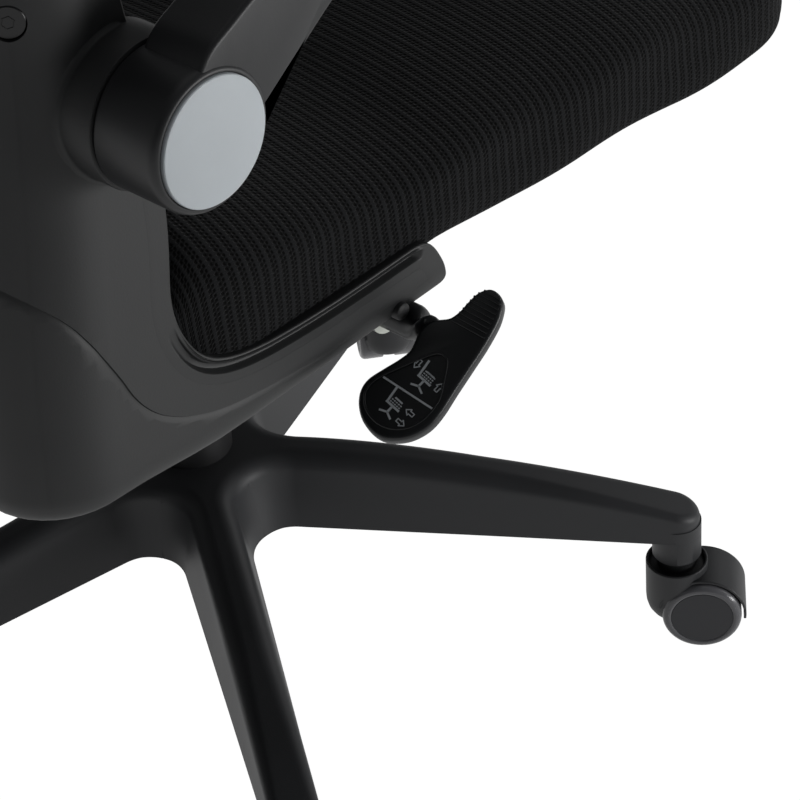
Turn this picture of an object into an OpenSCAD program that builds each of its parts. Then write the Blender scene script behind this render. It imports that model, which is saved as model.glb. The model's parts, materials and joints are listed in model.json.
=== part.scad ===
// Office chair: five-leg caster base, gas column, tilt mechanism, cushioned seat,
// one-piece back shell with side wings, mesh back and flip-up arms.
// The front faces -Y, the sitter's right is -X, and the origin is on the column axis at the floor.

/* [Casters] */
// Diameter of each wheel
wheel_d = 50; // [46:0.5:56]
// Width of one tyre
tyre_w = 17; // [14:0.5:18]
// Radial thickness of the tyre
tyre_t = 5.4; // [4:0.2:7]
// Distance of the axle behind the swivel axis
caster_trail = 15.7; // [14:0.1:17]
// Thickness of the web between the two wheels
hood_web = 6.4; // [5:0.2:8]
// Side clearance between a wheel and the web
wheel_side_gap = 0.8; // [0.4:0.1:1]
// Thickness of the hood over the wheels
hood_wall = 1.6; // [1.4:0.1:2.4]
// Radial clearance between the tyre and the hood
hood_gap = 1.4; // [1:0.1:2]
// Diameter of the collar round the stem
collar_d = 39.2; // [36:0.2:42]
// Height of the collar's rim above the wheel's centre
collar_rise = 32.9; // [31:0.1:36]
// Diameter of the caster stem
stem_d = 11; // [10:0.5:12]
// Length of stem inside the leg's socket
stem_socket_l = 24; // [20:1:28]
// Diameter of the wheel axle
axle_d = 8; // [6:0.5:9]

/* [Base] */
// Diameter of the circle through the five swivel axes
caster_circle_d = 598; // [560:1:640]
// Direction of the first leg, in degrees from +X
first_leg_angle = 217.8; // [210:0.1:225]
// Turn of each caster about its stem, 0 with the wheels straight outwards
caster_turns = [0, 0, 0, 0, 30]; // [-180:1:180]
// Width of a leg where it leaves the hub
leg_root_w = 43; // [38:0.5:48]
// Width of a leg at its tip
leg_tip_w = 28; // [24:0.5:30]
// Height of the top of a leg at the hub
leg_root_top = 152.5; // [150:0.5:162]
// Height of the top of a leg at its tip
leg_tip_top = 102.2; // [98:0.2:110]
// Height of the underside of a leg at the hub
leg_root_bottom = 103; // [99:0.5:107]
// Height of the underside of a leg at its tip
leg_tip_bottom = 81; // [79:0.2:84]
// Radius between neighbouring legs, seen from above
leg_fillet = 28; // [24:1:32]
// Wall of the hollow legs
leg_wall = 4; // [3:0.2:5]
// Height of the bottom of the stem socket
socket_bottom = 63.6; // [62:0.2:66]
// Diameter of the stem socket
socket_d = 31; // [29:0.2:33]

/* [Column] */
// Outer diameter of the column tube
column_d = 50; // [48:0.5:52]
// Wall of the column tube
column_wall = 2; // [1.6:0.1:2.6]
// Height of the top of the column tube
column_top = 308; // [300:1:312]
// Height of the bottom of the column tube
column_bottom = 92; // [88:1:96]
// Diameter of the gas cylinder
cylinder_d = 28; // [27:0.2:29]
// Height of the top of the gas cylinder
cylinder_top = 368; // [364:0.5:370]
// Length of the gas cylinder
cylinder_l = 238; // [232:1:240]
// Diameter of the piston rod
rod_d = 10; // [8:0.5:11]

/* [Tilt mechanism] */
// Width of the fixed bracket
bracket_w = 80; // [76:1:84]
// Distance of the tilt pin in front of the column
tilt_pin_y = 48; // [44:1:52]
// Height of the tilt pin
tilt_pin_z = 370; // [368:0.5:372]
// Diameter of the tilt pin
tilt_pin_d = 10; // [8:0.5:12]
// Thickness of the pressed steel
steel_t = 3; // [2.5:0.25:3.5]
// Width of the seat plate
plate_w = 200; // [180:2:220]
// Distance of the tension bolt in front of the column
tension_y = 92; // [90:1:96]
// Diameter of the tension knob
knob_d = 56; // [50:1:60]
// Height of the tension knob
knob_h = 26; // [22:1:28]

/* [Seat] */
// Width of the seat cushion
cushion_w = 476; // [460:1:478]
// Distance of the cushion's front edge from the column
cushion_front = 310; // [280:1:330]
// Distance of the cushion's rear edge from the column
cushion_rear = 205; // [190:1:210]
// Height of the underside of the seat pan
pan_bottom = 392; // [392:0.5:394]
// Thickness of the seat pan
pan_t = 12; // [10:0.5:14]
// Height of the cushion's top at the back
cushion_rear_top = 505; // [495:1:515]
// Height of the cushion's top at its lowest
cushion_mid_top = 471; // [464:1:480]
// Radius of the cushion's front corners
cushion_corner_r = 62; // [50:1:100]

/* [Back] */
// Width of the shell at the wings
shell_w = 492; // [486:1:496]
// Width of the shell at the top
shell_top_w = 424; // [410:1:436]
// Height of the top of the back
back_top = 1000; // [980:5:1030]
// Thickness of the shell
shell_wall = 5; // [4:0.2:6]
// Radius of the shell's rear corners
shell_corner_r = 45; // [42:1:48]
// Height of the underside of the wings
wing_bottom = 388; // [386:0.5:390]
// Height of the top of the wings at their tip
wing_tip_top = 424; // [420:0.5:428]
// Height of the top of the wings at the inner corner
wing_root_top = 446; // [442:0.5:450]
// Distance of the wing tips behind the column
wing_tip_y = 27; // [24:0.5:32]
// Distance of the shell's upright front edge behind the column
upright_y = 198; // [192:0.5:204]
// Height of the lower edge of the mesh opening
opening_bottom = 604; // [590:1:620]
// Width of the shell left beside the mesh opening
opening_side = 56; // [52:1:62]
// Height of the shell left above the mesh opening
opening_top_band = 40; // [34:1:50]

/* [Arms] */
// Height of the arm hinge
hub_z = 591.5; // [585:0.5:600]
// Distance of the arm hinge behind the column
hub_y = 208.8; // [205:0.2:212]
// Diameter of the arm's root
hub_d = 69; // [66:0.5:72]
// Diameter of the boss on the shell
boss_d = 72; // [70:0.5:74]
// Distance from the middle of the chair to the face of the boss
boss_face_x = 252; // [249:0.5:255]
// Thickness of the arm across
arm_t = 37.7; // [34:0.1:40]
// Diameter of the cap disc
cap_d = 61.2; // [58:0.2:63]
// Length of the arm pad
pad_l = 252; // [230:1:260]
// Width of the arm pad
pad_w = 78; // [70:1:84]
// Thickness of the arm pad
pad_t = 26; // [20:1:30]
// Height of the arm beam's top
arm_top_z = 672; // [666:0.5:680]

/* [Lever] */
// Distance of the lever's rod behind the column
lever_y = 49; // [47:0.2:51]
// Height of the lever's rod
lever_z = 383; // [382:0.2:384]
// Diameter of the steel rod
lever_rod_d = 9; // [8:0.2:9.6]
// Diameter of the sleeve round the rod's end
sleeve_d = 19; // [17:0.2:20]
// Thickness of the paddle
paddle_t = 9; // [7:0.5:10]
// Radius of the paddle's round end
paddle_r = 22.5; // [20:0.5:24]
// Radius of the paddle's finger tip
fingertip_r = 10.5; // [9:0.5:12]

/* [Hidden] */
$fn = 64;

// Clearances and the overrun of every cut
run_gap = 0.05;
soft_gap = 0.3;
over = 1;
leg_count = 5;
leg_pitch = 360 / leg_count;

// Casters
wheel_r = wheel_d / 2;
hub_disc_r = wheel_r - tyre_t;
wheel_inner_y = hood_web / 2 + wheel_side_gap;
wheel_face_y = wheel_inner_y + tyre_w;
hub_disc_recess = 0.5;
tyre_edge_r = 3.4;
hood_inner_r = wheel_r + hood_gap;
hood_r = hood_inner_r + hood_wall;
hood_half_w = wheel_face_y - tyre_edge_r;
hood_cut_z = 0.7 * wheel_r;
lip_cut_z = 0.9 * wheel_r;
lip_cut_x = caster_trail + wheel_r / 2;
collar_top = wheel_r + collar_rise;
collar_recess = 6;
collar_wall = 1.7;
stem_island_r = 9;
stem_bottom = collar_top - 9.5;
stem_flange_r = 11;
stem_flange_t = 2;
axle_end_margin = 2.6;
axle_half_l = wheel_face_y - hub_disc_recess - axle_end_margin;

// Base
caster_r = caster_circle_d / 2;
hub_half_angle = leg_pitch / 2;
fillet_centre_s = (leg_root_w / 2 + leg_fillet) / tan(hub_half_angle);
hub_r = (leg_root_w / 2 + leg_fillet) / sin(hub_half_angle) - leg_fillet;
flare_start_s = 0.8 * hub_r;
leg_droop_power = 1.6;
leg_edge_r = 11;
leg_ridge_half_w = 14.5;
leg_least_draft = 1;
leg_stations = 9;
leg_tip_stations = 4;
hub_bottom = 84;
hub_core_r = 34;
hub_proud = 1.3;
hub_rise = 0.7;
hub_sides = 60;
taper_top = leg_root_top - leg_edge_r / 2;
taper_in = 1;

// Column
column_r = column_d / 2;
column_bore_r = column_r - column_wall;
column_floor_t = 3;
bush_l = 68;
bush_rim_t = 3;
bearing_t = 4;
bearing_r = 14;
clip_t = 2.5;
clip_r = 9;
rod_r = rod_d / 2;
rod_flange_r = 12;
rod_flange_t = 3;
piston_z = column_bottom + 132;
piston_t = 14;
cylinder_r = cylinder_d / 2;
cylinder_wall = 2;
cylinder_bottom = cylinder_top - cylinder_l;
cylinder_taper_l = 30;
cylinder_taper = 0.9;
cylinder_cap_t = 26;
valve_pin_r = 4;
valve_pin_rise = 3;
valve_pin_l = 16;

// Tilt mechanism
bracket_bottom = cylinder_top - 34;
bracket_rear_y = 34;
bracket_front_y = tension_y + 24;
bracket_pin_wall_top = tilt_pin_z + tilt_pin_d;
bracket_rear_top = cylinder_top - 9;
bracket_front_top = cylinder_top - 6;
socket_wall = 5;
spring_cup_r = 21;
spring_cup_bottom = bracket_bottom - 4;
spring_r = 15;
spring_wire = 4;
spring_bolt_r = 5;
knob_top = spring_cup_bottom - 16;
spring_top = bracket_bottom + 22;
knob_lobes = 8;
knob_lobe_r = 8;
plate_top = pan_bottom;
plate_front_y = 132;
plate_rear_y = 112;
flange_drop = 30;
flange_x = bracket_w / 2 + steel_t;
plate_bolt_x = 76;
plate_bolt_front_y = -110;
plate_bolt_rear_y = 92;
bolt_r = 3;
bolt_head_r = 6;
bolt_head_t = 3.5;

// Seat
pan_top = pan_bottom + pan_t;
pan_side_gap = 20;
pan_half_w = shell_w / 2 - shell_wall - pan_side_gap;
pan_front_y = cushion_front - 18;
pan_rear_y = cushion_rear - 28;
pan_corner_r = 50;
cushion_crown = 14;
cushion_side_power = 4.5;
cushion_hem_power = 14;
cushion_end_lift = 20;
cushion_end_power = 6.4;
cushion_stations = 20;
cushion_ring = 28;
waterfall = 52;
waterfall_power = 2.4;
pull_in = 3;

// Back shell: half width, rear position and depth of the upright at each height
side_shares = [[0, 0], [0.03, 0], [0.18, 0.16], [0.35, 0.33], [0.43, 0.42], [0.55, 0.56],
               [0.7, 0.72], [0.85, 0.86], [1, 1]];
shell_h = back_top - wing_bottom;
rear_y_low = 297;
rear_y_lumbar = 262;
rear_y_top = 326;
lumbar_share = 0.51;
bottom_round = 9;
rear_bow = 12;
corner_steps = 5;
rear_steps = 5;
floor_t = 4;
floor_band = 40;
side_front_y = wing_tip_y - 8;
inner_corner_r = 27;
tip_corner_r = 9;
wing_slope_y = 112;
upright_top_depth = 34;
upright_bend_z = 660;
opening_corner_r = 60;
lever_notch_r = sleeve_d / 2 + 1.5;
shell_bolt_in = 34;
shell_bolt_front_y = 88;
shell_bolt_rear_y = 156;

// Mesh frame and lumbar pad
ring_in = 46;
ring_gap = 0.6;
ring_w = 22;
ring_t = 12;
ring_bottom = opening_bottom - 14;
ring_top = back_top - opening_top_band + 14;
mesh_t = 1.6;
cloth_gap = 0.15;
lumbar_z = 690;
lumbar_h = 78;
lumbar_w = 352;
lumbar_t = 6;
lumbar_in = 3;
frame_bolt_low_z = 645;
frame_bolt_high_z = 900;
frame_bolt_r = 8.2;
frame_bolt_depth = 3;
frame_bolt_shank_r = 3;

// Arms
hub_r_arm = hub_d / 2;
boss_r = boss_d / 2;
arm_gap = 0.3;
arm_inner_x = boss_face_x + arm_gap;
arm_outer_x = arm_inner_x + arm_t;
hub_edge_r = 4;
beam_t = 31;
cap_t = 3.5;
cap_proud = 2;
pivot_r = 6;
pivot_head_r = 10;
pivot_head_t = 4;
pivot_head_gap = 0.6;
pad_rear_y = 128;
pad_edge_r = 8;
pad_in = 16;
screw_r = 2.5;
screw_head_r = 5;
screw_head_t = 3;
screw_in_pad = 12;
pad_screw_rear_y = 50;
pad_screw_front_y = -70;

// Lever
lever_rod_r = lever_rod_d / 2;
sleeve_r = sleeve_d / 2;
sleeve_inner_x = 231;
sleeve_l = 34;
rod_inner_x = -6;
rod_outer_x = sleeve_inner_x + sleeve_l - 8;
finger_w = 12;
finger_t = 3;
finger_lift = 2.5;
finger_y = -6;
rod_collar_r = 8;
rod_collar_t = 4;
lock_x = plate_w / 2 + 12;
lock_t = 8;
lock_arm_w = 10;
lock_gap = 1;
guide_x = 223;
guide_t = 6;
guide_r = 13;
paddle_x = 262;
paddle_y = 62;
paddle_z = 387;
paddle_pitch = 29.3;
paddle_roll = 14;
bulb_at = [12, -31];
palm_at = [17, -4];
palm_r = 14;
fingertip_at = [14, 30];
rib_pitch = 3;
rib_count = 8;
rib_w = 1.2;
rib_h = 0.8;

// Points on an arc from angle a to angle b, in n steps
function arc(centre, r, a, b, n) =
    [for (i = [0:n]) centre + r * [cos(a + (b - a) * i / n), sin(a + (b - a) * i / n)]];

// The list with its order turned round
function flipped(list) = [for (i = [len(list) - 1:-1:0]) list[i]];

// A smooth rise from 0 to 1
function ease(t) = t * t * (3 - 2 * t);

// Solid through rings of points, each ring seen counter-clockwise from the last one
module loft(rings) {
    n = len(rings[0]);
    m = len(rings);
    points = [for (ring = rings) each ring];
    sides = [for (i = [0:m - 2], j = [0:n - 1]) each [
        [i * n + (j + 1) % n, i * n + j, (i + 1) * n + j],
        [(i + 1) * n + (j + 1) % n, i * n + (j + 1) % n, (i + 1) * n + j]]];
    first_cap = [for (j = [0:n - 1]) j];
    last_cap = [for (j = [n - 1:-1:0]) (m - 1) * n + j];
    polyhedron(points, concat(sides, [first_cap, last_cap]), convexity = 8);
}

// Solid band through rings whose first half runs outside and second half returns inside
module band_loft(rings) {
    n = len(rings[0]);
    m = len(rings);
    last = (m - 1) * n;
    points = [for (ring = rings) each ring];
    sides = [for (i = [0:m - 2], j = [0:n - 1]) each [
        [i * n + (j + 1) % n, i * n + j, (i + 1) * n + j],
        [(i + 1) * n + (j + 1) % n, i * n + (j + 1) % n, (i + 1) * n + j]]];
    caps = [for (j = [0:n / 2 - 2]) each [
        [j, j + 1, n - 1 - j], [n - 1 - j, j + 1, n - 2 - j],
        [last + j + 1, last + j, last + n - 1 - j],
        [last + n - 2 - j, last + j + 1, last + n - 1 - j]]];
    polyhedron(points, concat(sides, caps), convexity = 8);
}

module along_x(from, to, r) {
    translate([from, 0, 0]) rotate([0, 90, 0]) cylinder(h = to - from, r = r);
}

module along_y(from, to, r) {
    translate([0, from, 0]) rotate([-90, 0, 0]) cylinder(h = to - from, r = r);
}

module ring_z(outer_r, inner_r, h) {
    difference() {
        cylinder(h = h, r = outer_r);
        translate([0, 0, -over]) cylinder(h = h + 2 * over, r = inner_r);
    }
}

// Extrudes a Y-Z outline along X between two places
module side_plate(from, to, outline) {
    translate([from, 0, 0]) rotate([90, 0, 90]) linear_extrude(to - from) polygon(outline);
}

module at_leg(i) {
    rotate([0, 0, first_leg_angle - leg_pitch * i]) children();
}

module at_caster(i) {
    at_leg(i) translate([caster_r, 0, 0]) children();
}

// The swivelling part of a caster, turned as it stands at rest
module at_turned_caster(i) {
    at_caster(i) rotate([0, 0, caster_turns[i]]) children();
}

// Base star

// Half width of a leg at distance s from the column
function leg_half_w(s) = s < fillet_centre_s
    ? leg_root_w / 2 + leg_fillet - sqrt(pow(leg_fillet, 2) - pow(fillet_centre_s - s, 2))
    : (leg_root_w + (leg_tip_w - leg_root_w) * (s - fillet_centre_s) / (caster_r - fillet_centre_s)) / 2;

function leg_along(s) = max(0, min(1, (s - hub_r) / (caster_r - hub_r)));

function leg_top(s) = leg_root_top - (leg_root_top - leg_tip_top) * pow(leg_along(s), leg_droop_power);

function leg_bottom(s) = leg_root_bottom + (leg_tip_bottom - leg_root_bottom) * leg_along(s);

// How much narrower a leg is at the top of its sides than at the bottom
function leg_draft(s) = max(leg_least_draft, leg_half_w(max(s, fillet_centre_s)) - leg_ridge_half_w);

// Cross-section of a leg: flat underside, sides that lean inwards and a rounded top
function leg_ring(s, half_w, top, bottom) = let (w = max(half_w * 0.6, half_w - leg_draft(s)),
                                                 r = min(leg_edge_r, w * 0.8))
    [for (p = concat([[-half_w, bottom], [half_w, bottom]],
                     arc([w - r, top - r], r, 0, 90, 3),
                     arc([-w + r, top - r], r, 90, 180, 3))) [s, p[0], p[1]]];

leg_run = [for (i = [0:leg_stations]) flare_start_s + (caster_r - flare_start_s) * pow(i / leg_stations, 1.5)];

module leg_body() {
    straight = [for (s = leg_run) leg_ring(s, leg_half_w(s), leg_top(s), leg_bottom(s))];
    tip = [for (i = [1:leg_tip_stations]) let (a = 80 * i / leg_tip_stations)
        leg_ring(caster_r + leg_tip_w / 2 * sin(a), leg_tip_w / 2 * cos(a), leg_tip_top, leg_tip_bottom)];
    loft(concat(straight, tip));
}

module leg_hollow() {
    from_s = hub_core_r + leg_wall;
    to_s = caster_r - socket_d / 2 - leg_wall;
    loft([for (i = [0:4]) let (s = from_s + (to_s - from_s) * i / 4, w = leg_half_w(max(s, fillet_centre_s)) - leg_wall)
        [for (p = [[-w, leg_bottom(s) - over - leg_wall], [w, leg_bottom(s) - over - leg_wall],
                   [w * 0.6, leg_top(s) - 2 * leg_wall], [-w * 0.6, leg_top(s) - 2 * leg_wall]])
            [s, p[0], p[1]]]]);
}

// Round middle of the base, a little proud of the legs and rounded along its top edge
module hub_body() {
    out = hub_r + hub_proud;
    profile = concat([[out, leg_root_bottom - hub_proud]],
        arc([out - leg_edge_r, leg_root_top + hub_rise - leg_edge_r], leg_edge_r, 0, 90, 3));
    loft([for (p = profile) [for (i = [0:hub_sides - 1]) let (a = 360 * i / hub_sides)
        [p[0] * cos(a), p[0] * sin(a), p[1]]]]);
}

module base_star() {
    color("#3a3b3d") difference() {
        union() {
            hub_body();
            translate([0, 0, hub_bottom])
                cylinder(h = leg_root_bottom + leg_wall - hub_bottom, r = hub_core_r);
            for (i = [0:leg_count - 1]) {
                at_leg(i) leg_body();
                at_caster(i) translate([0, 0, socket_bottom])
                    cylinder(h = leg_tip_top - leg_edge_r - socket_bottom, r = socket_d / 2);
            }
        }
        for (i = [0:leg_count - 1]) {
            at_leg(i) leg_hollow();
            at_caster(i) translate([0, 0, socket_bottom - over])
                cylinder(h = stem_socket_l + over, r = stem_d / 2 + run_gap);
        }
        translate([0, 0, column_bottom])
            cylinder(h = taper_top - column_bottom, r1 = column_r - taper_in, r2 = column_r);
        translate([0, 0, taper_top - run_gap]) cylinder(h = leg_root_top, r = column_r);
        translate([0, 0, hub_bottom - over])
            cylinder(h = column_bottom - hub_bottom + 2 * over, r = column_r - taper_in - column_wall);
    }
}

module caster_stems() {
    color("#b9bbbd") for (i = [0:leg_count - 1]) at_caster(i) {
        translate([0, 0, stem_bottom])
            cylinder(h = socket_bottom + stem_socket_l - over - stem_bottom, r = stem_d / 2);
        translate([0, 0, socket_bottom - stem_flange_t]) cylinder(h = stem_flange_t, r = stem_flange_r);
    }
}

// Casters

module hood(i) {
    color("#3a3b3d") at_turned_caster(i) difference() {
        union() {
            translate([0, 0, hood_cut_z]) cylinder(h = collar_top - hood_cut_z, r = collar_d / 2);
            translate([caster_trail, 0, wheel_r]) along_y(-hood_half_w, hood_half_w, hood_r);
        }
        for (side = [-1, 1]) translate([caster_trail, side * (hood_web + wheel_d) / 2, wheel_r])
            along_y(-wheel_r, wheel_r, hood_inner_r);
        translate([-hood_r, -wheel_d, -hood_r]) cube([wheel_d * 2, wheel_d * 2, hood_cut_z + hood_r]);
        translate([lip_cut_x, -wheel_d, 0]) cube([wheel_d, wheel_d * 2, lip_cut_z]);
        translate([0, 0, collar_top - collar_recess])
            ring_z(collar_d / 2 - collar_wall, stem_island_r, collar_recess + over);
        translate([0, 0, stem_bottom - run_gap]) cylinder(h = wheel_d, r = stem_d / 2 + run_gap);
        translate([caster_trail, 0, wheel_r]) along_y(-wheel_d, wheel_d, axle_d / 2);
    }
}

module axle(i) {
    color("#b9bbbd") at_turned_caster(i) translate([caster_trail, 0, wheel_r])
        along_y(-axle_half_l, axle_half_l, axle_d / 2);
}

// Places a wheel's parts on both sides of the web, with the axle along Y
module both_wheels(i) {
    at_turned_caster(i) translate([caster_trail, 0, wheel_r])
        for (side = [0, 1]) mirror([0, side, 0]) rotate([-90, 0, 0]) children();
}

module wheels(i) {
    face = wheel_face_y - hub_disc_recess;
    color("#35363a") both_wheels(i) difference() {
        translate([0, 0, wheel_inner_y]) cylinder(h = face - wheel_inner_y, r = hub_disc_r);
        translate([0, 0, wheel_inner_y - over])
            cylinder(h = axle_half_l + over + run_gap - wheel_inner_y, r = axle_d / 2 + run_gap);
    }
}

module tyres(i) {
    profile = concat(
        [[hub_disc_r, wheel_inner_y], [wheel_r - 1, wheel_inner_y], [wheel_r, wheel_inner_y + 1]],
        arc([wheel_r - tyre_edge_r, wheel_face_y - tyre_edge_r], tyre_edge_r, 0, 90, 4),
        [[hub_disc_r, wheel_face_y]]);
    color("#8b8c91") both_wheels(i) rotate_extrude() polygon(profile);
}

// Column

module column_tube() {
    color("#1d1d1f") difference() {
        union() {
            translate([0, 0, column_bottom])
                cylinder(h = taper_top - column_bottom, r1 = column_r - taper_in, r2 = column_r);
            translate([0, 0, taper_top]) cylinder(h = column_top - taper_top, r = column_r);
        }
        translate([0, 0, column_bottom + column_floor_t])
            cylinder(h = column_top, r = column_bore_r - taper_in);
        translate([0, 0, column_top - bush_l]) cylinder(h = bush_l + over, r = column_bore_r);
        translate([0, 0, column_bottom - over]) cylinder(h = column_floor_t + 2 * over, r = rod_r + run_gap);
    }
}

module column_bush() {
    color("#101011") difference() {
        union() {
            translate([0, 0, column_top - bush_l]) cylinder(h = bush_l, r = column_bore_r);
            translate([0, 0, column_top]) cylinder(h = bush_rim_t, r = column_r);
        }
        translate([0, 0, column_top - bush_l - over])
            cylinder(h = bush_l + bush_rim_t + 2 * over, r = cylinder_r + run_gap);
    }
}

module thrust_bearing() {
    color("#b9bbbd") translate([0, 0, column_bottom + column_floor_t])
        ring_z(bearing_r, rod_r + run_gap, bearing_t);
}

module piston_rod() {
    flange_z = column_bottom + column_floor_t + bearing_t;
    color("#d0d2d4") {
        translate([0, 0, column_bottom - 2 * clip_t])
            cylinder(h = piston_z + piston_t - column_bottom + 2 * clip_t, r = rod_r);
        translate([0, 0, flange_z]) cylinder(h = rod_flange_t, r = rod_flange_r);
        translate([0, 0, piston_z]) cylinder(h = piston_t, r = cylinder_r - cylinder_wall - run_gap);
    }
}

module rod_clip() {
    color("#b9bbbd") translate([0, 0, column_bottom - clip_t - run_gap]) ring_z(clip_r, rod_r, clip_t);
}

module gas_cylinder() {
    color("#1d1d1f") difference() {
        union() {
            translate([0, 0, cylinder_bottom]) cylinder(h = cylinder_l - cylinder_taper_l, r = cylinder_r);
            translate([0, 0, cylinder_top - cylinder_taper_l])
                cylinder(h = cylinder_taper_l, r1 = cylinder_r, r2 = cylinder_r - cylinder_taper);
        }
        translate([0, 0, cylinder_bottom + cylinder_wall])
            cylinder(h = cylinder_l - cylinder_wall - cylinder_cap_t, r = cylinder_r - cylinder_wall);
        translate([0, 0, cylinder_bottom - over]) cylinder(h = cylinder_wall + 2 * over, r = rod_r + run_gap);
        translate([0, 0, cylinder_top - valve_pin_l])
            cylinder(h = valve_pin_l + over, r = valve_pin_r + run_gap);
    }
}

module valve_pin() {
    color("#d0d2d4") translate([0, 0, cylinder_top + valve_pin_rise - valve_pin_l])
        cylinder(h = valve_pin_l, r = valve_pin_r);
}

// Tilt mechanism

module tilt_bracket() {
    half_w = bracket_w / 2;
    wall_outline = [[-bracket_front_y, bracket_bottom], [bracket_rear_y, bracket_bottom],
        [bracket_rear_y, bracket_rear_top], [-tilt_pin_y + tilt_pin_d, bracket_pin_wall_top],
        [-tilt_pin_y - tilt_pin_d, bracket_pin_wall_top], [-bracket_front_y, bracket_front_top]];
    color("#1b1b1d") difference() {
        union() {
            for (side = [-1, 1]) side_plate(side > 0 ? half_w - steel_t : -half_w,
                side > 0 ? half_w : -half_w + steel_t, wall_outline);
            translate([-half_w, -bracket_front_y, bracket_bottom])
                cube([bracket_w, bracket_front_y + bracket_rear_y, steel_t]);
            translate([-half_w, -bracket_front_y, bracket_bottom])
                cube([bracket_w, steel_t, bracket_front_top - bracket_bottom]);
            translate([0, 0, bracket_bottom])
                cylinder(h = cylinder_top - bracket_bottom - over, r = cylinder_r + socket_wall);
            translate([0, -tension_y, spring_cup_bottom])
                cylinder(h = spring_top + steel_t - spring_cup_bottom, r = spring_cup_r + steel_t);
        }
        translate([0, 0, cylinder_top - cylinder_taper_l])
            cylinder(h = cylinder_taper_l, r1 = cylinder_r, r2 = cylinder_r - cylinder_taper);
        translate([0, 0, bracket_bottom - over])
            cylinder(h = cylinder_top - cylinder_taper_l - bracket_bottom + over + run_gap, r = cylinder_r);
        translate([0, -tilt_pin_y, tilt_pin_z]) along_x(-bracket_w, bracket_w, tilt_pin_d / 2);
        translate([0, -tension_y, spring_cup_bottom - over])
            cylinder(h = spring_top - spring_cup_bottom + over, r = spring_cup_r);
        translate([0, -tension_y, spring_top - over])
            cylinder(h = steel_t + 2 * over, r = 2.6 * spring_bolt_r);
    }
}

module tilt_pin() {
    color("#b9bbbd") translate([0, -tilt_pin_y, tilt_pin_z])
        along_x(-flange_x - steel_t, flange_x + steel_t, tilt_pin_d / 2);
}

module tilt_spring() {
    color("#4a4b4e") translate([0, -tension_y, knob_top])
        ring_z(spring_r, spring_r - spring_wire, spring_top - knob_top);
}

module spring_bolt() {
    color("#b9bbbd") translate([0, -tension_y, knob_top - knob_h + bolt_head_t])
        cylinder(h = plate_top - steel_t - knob_top + knob_h - bolt_head_t, r = spring_bolt_r);
}

module tension_knob() {
    color("#141415") translate([0, -tension_y, knob_top - knob_h]) difference() {
        union() {
            cylinder(h = knob_h, r = knob_d / 2 - knob_lobe_r / 2);
            for (i = [0:knob_lobes - 1]) rotate([0, 0, 360 * i / knob_lobes])
                translate([knob_d / 2 - knob_lobe_r, 0, 0]) cylinder(h = knob_h, r = knob_lobe_r, $fn = 32);
        }
        translate([0, 0, bolt_head_t]) cylinder(h = knob_h, r = spring_bolt_r + run_gap);
    }
}

module at_plate_bolts() {
    for (side = [-1, 1], y = [plate_bolt_front_y, plate_bolt_rear_y])
        translate([side * plate_bolt_x, y, 0]) children();
}

module seat_plate() {
    flange_outline = concat(
        [[-plate_front_y, plate_top - over], [-plate_front_y, plate_top - flange_drop / 2]],
        [[-tilt_pin_y - 2 * tilt_pin_d, plate_top - flange_drop - 5], [lever_y + 6, plate_top - flange_drop + 8],
         [plate_rear_y, plate_top - flange_drop / 2], [plate_rear_y, plate_top - over]]);
    color("#1b1b1d") difference() {
        union() {
            translate([-plate_w / 2, -plate_front_y, plate_top - steel_t])
                cube([plate_w, plate_front_y + plate_rear_y, steel_t]);
            side_plate(flange_x - steel_t + arm_gap, flange_x + arm_gap, flange_outline);
            side_plate(-flange_x - arm_gap, -flange_x + steel_t - arm_gap, flange_outline);
        }
        translate([0, -tilt_pin_y, tilt_pin_z]) along_x(-bracket_w, bracket_w, tilt_pin_d / 2 + run_gap);
        translate([0, lever_y, lever_z]) along_x(-bracket_w, 0, lever_rod_r + run_gap);
        at_plate_bolts() translate([0, 0, plate_top - steel_t - over])
            cylinder(h = steel_t + 2 * over, r = bolt_r);
    }
}

module plate_bolts() {
    color("#b9bbbd") at_plate_bolts() {
        translate([0, 0, plate_top - steel_t]) cylinder(h = steel_t + pan_t - over, r = bolt_r);
        translate([0, 0, plate_top - steel_t - bolt_head_t]) cylinder(h = bolt_head_t, r = bolt_head_r);
    }
}

// Seat

module at_shell_bolts() {
    for (side = [-1, 1], y = [shell_bolt_front_y, shell_bolt_rear_y])
        translate([side * (shell_w / 2 - shell_bolt_in), y, 0]) children();
}

pan_outline = concat(
    arc([pan_half_w - pan_corner_r, -pan_front_y + pan_corner_r], pan_corner_r, -90, 0, 6),
    arc([pan_half_w - pan_corner_r / 2, pan_rear_y - pan_corner_r / 2], pan_corner_r / 2, 0, 90, 6),
    arc([-pan_half_w + pan_corner_r / 2, pan_rear_y - pan_corner_r / 2], pan_corner_r / 2, 90, 180, 6),
    arc([-pan_half_w + pan_corner_r, -pan_front_y + pan_corner_r], pan_corner_r, 180, 270, 6));

module seat_pan() {
    color("#232325") difference() {
        translate([0, 0, pan_bottom]) linear_extrude(pan_t) polygon(pan_outline);
        at_plate_bolts() translate([0, 0, pan_bottom - over]) cylinder(h = pan_t, r = bolt_r);
        at_shell_bolts() translate([0, 0, pan_bottom - over]) cylinder(h = pan_t, r = bolt_r);
    }
}

cushion_len = cushion_front + cushion_rear;

// Share of the full width and height left at t, from -1 at the front edge to 1 at the rear edge
function end_share(t, power) = pow(max(0, 1 - pow(abs(t), power)), 1 / power);

function cushion_top(y) = let (back = max(0, y) / cushion_rear, ahead = max(0, -y) / cushion_front)
    cushion_mid_top + (cushion_rear_top - cushion_mid_top) * ease(min(1, back))
    - waterfall * pow(ahead, waterfall_power);

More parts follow.
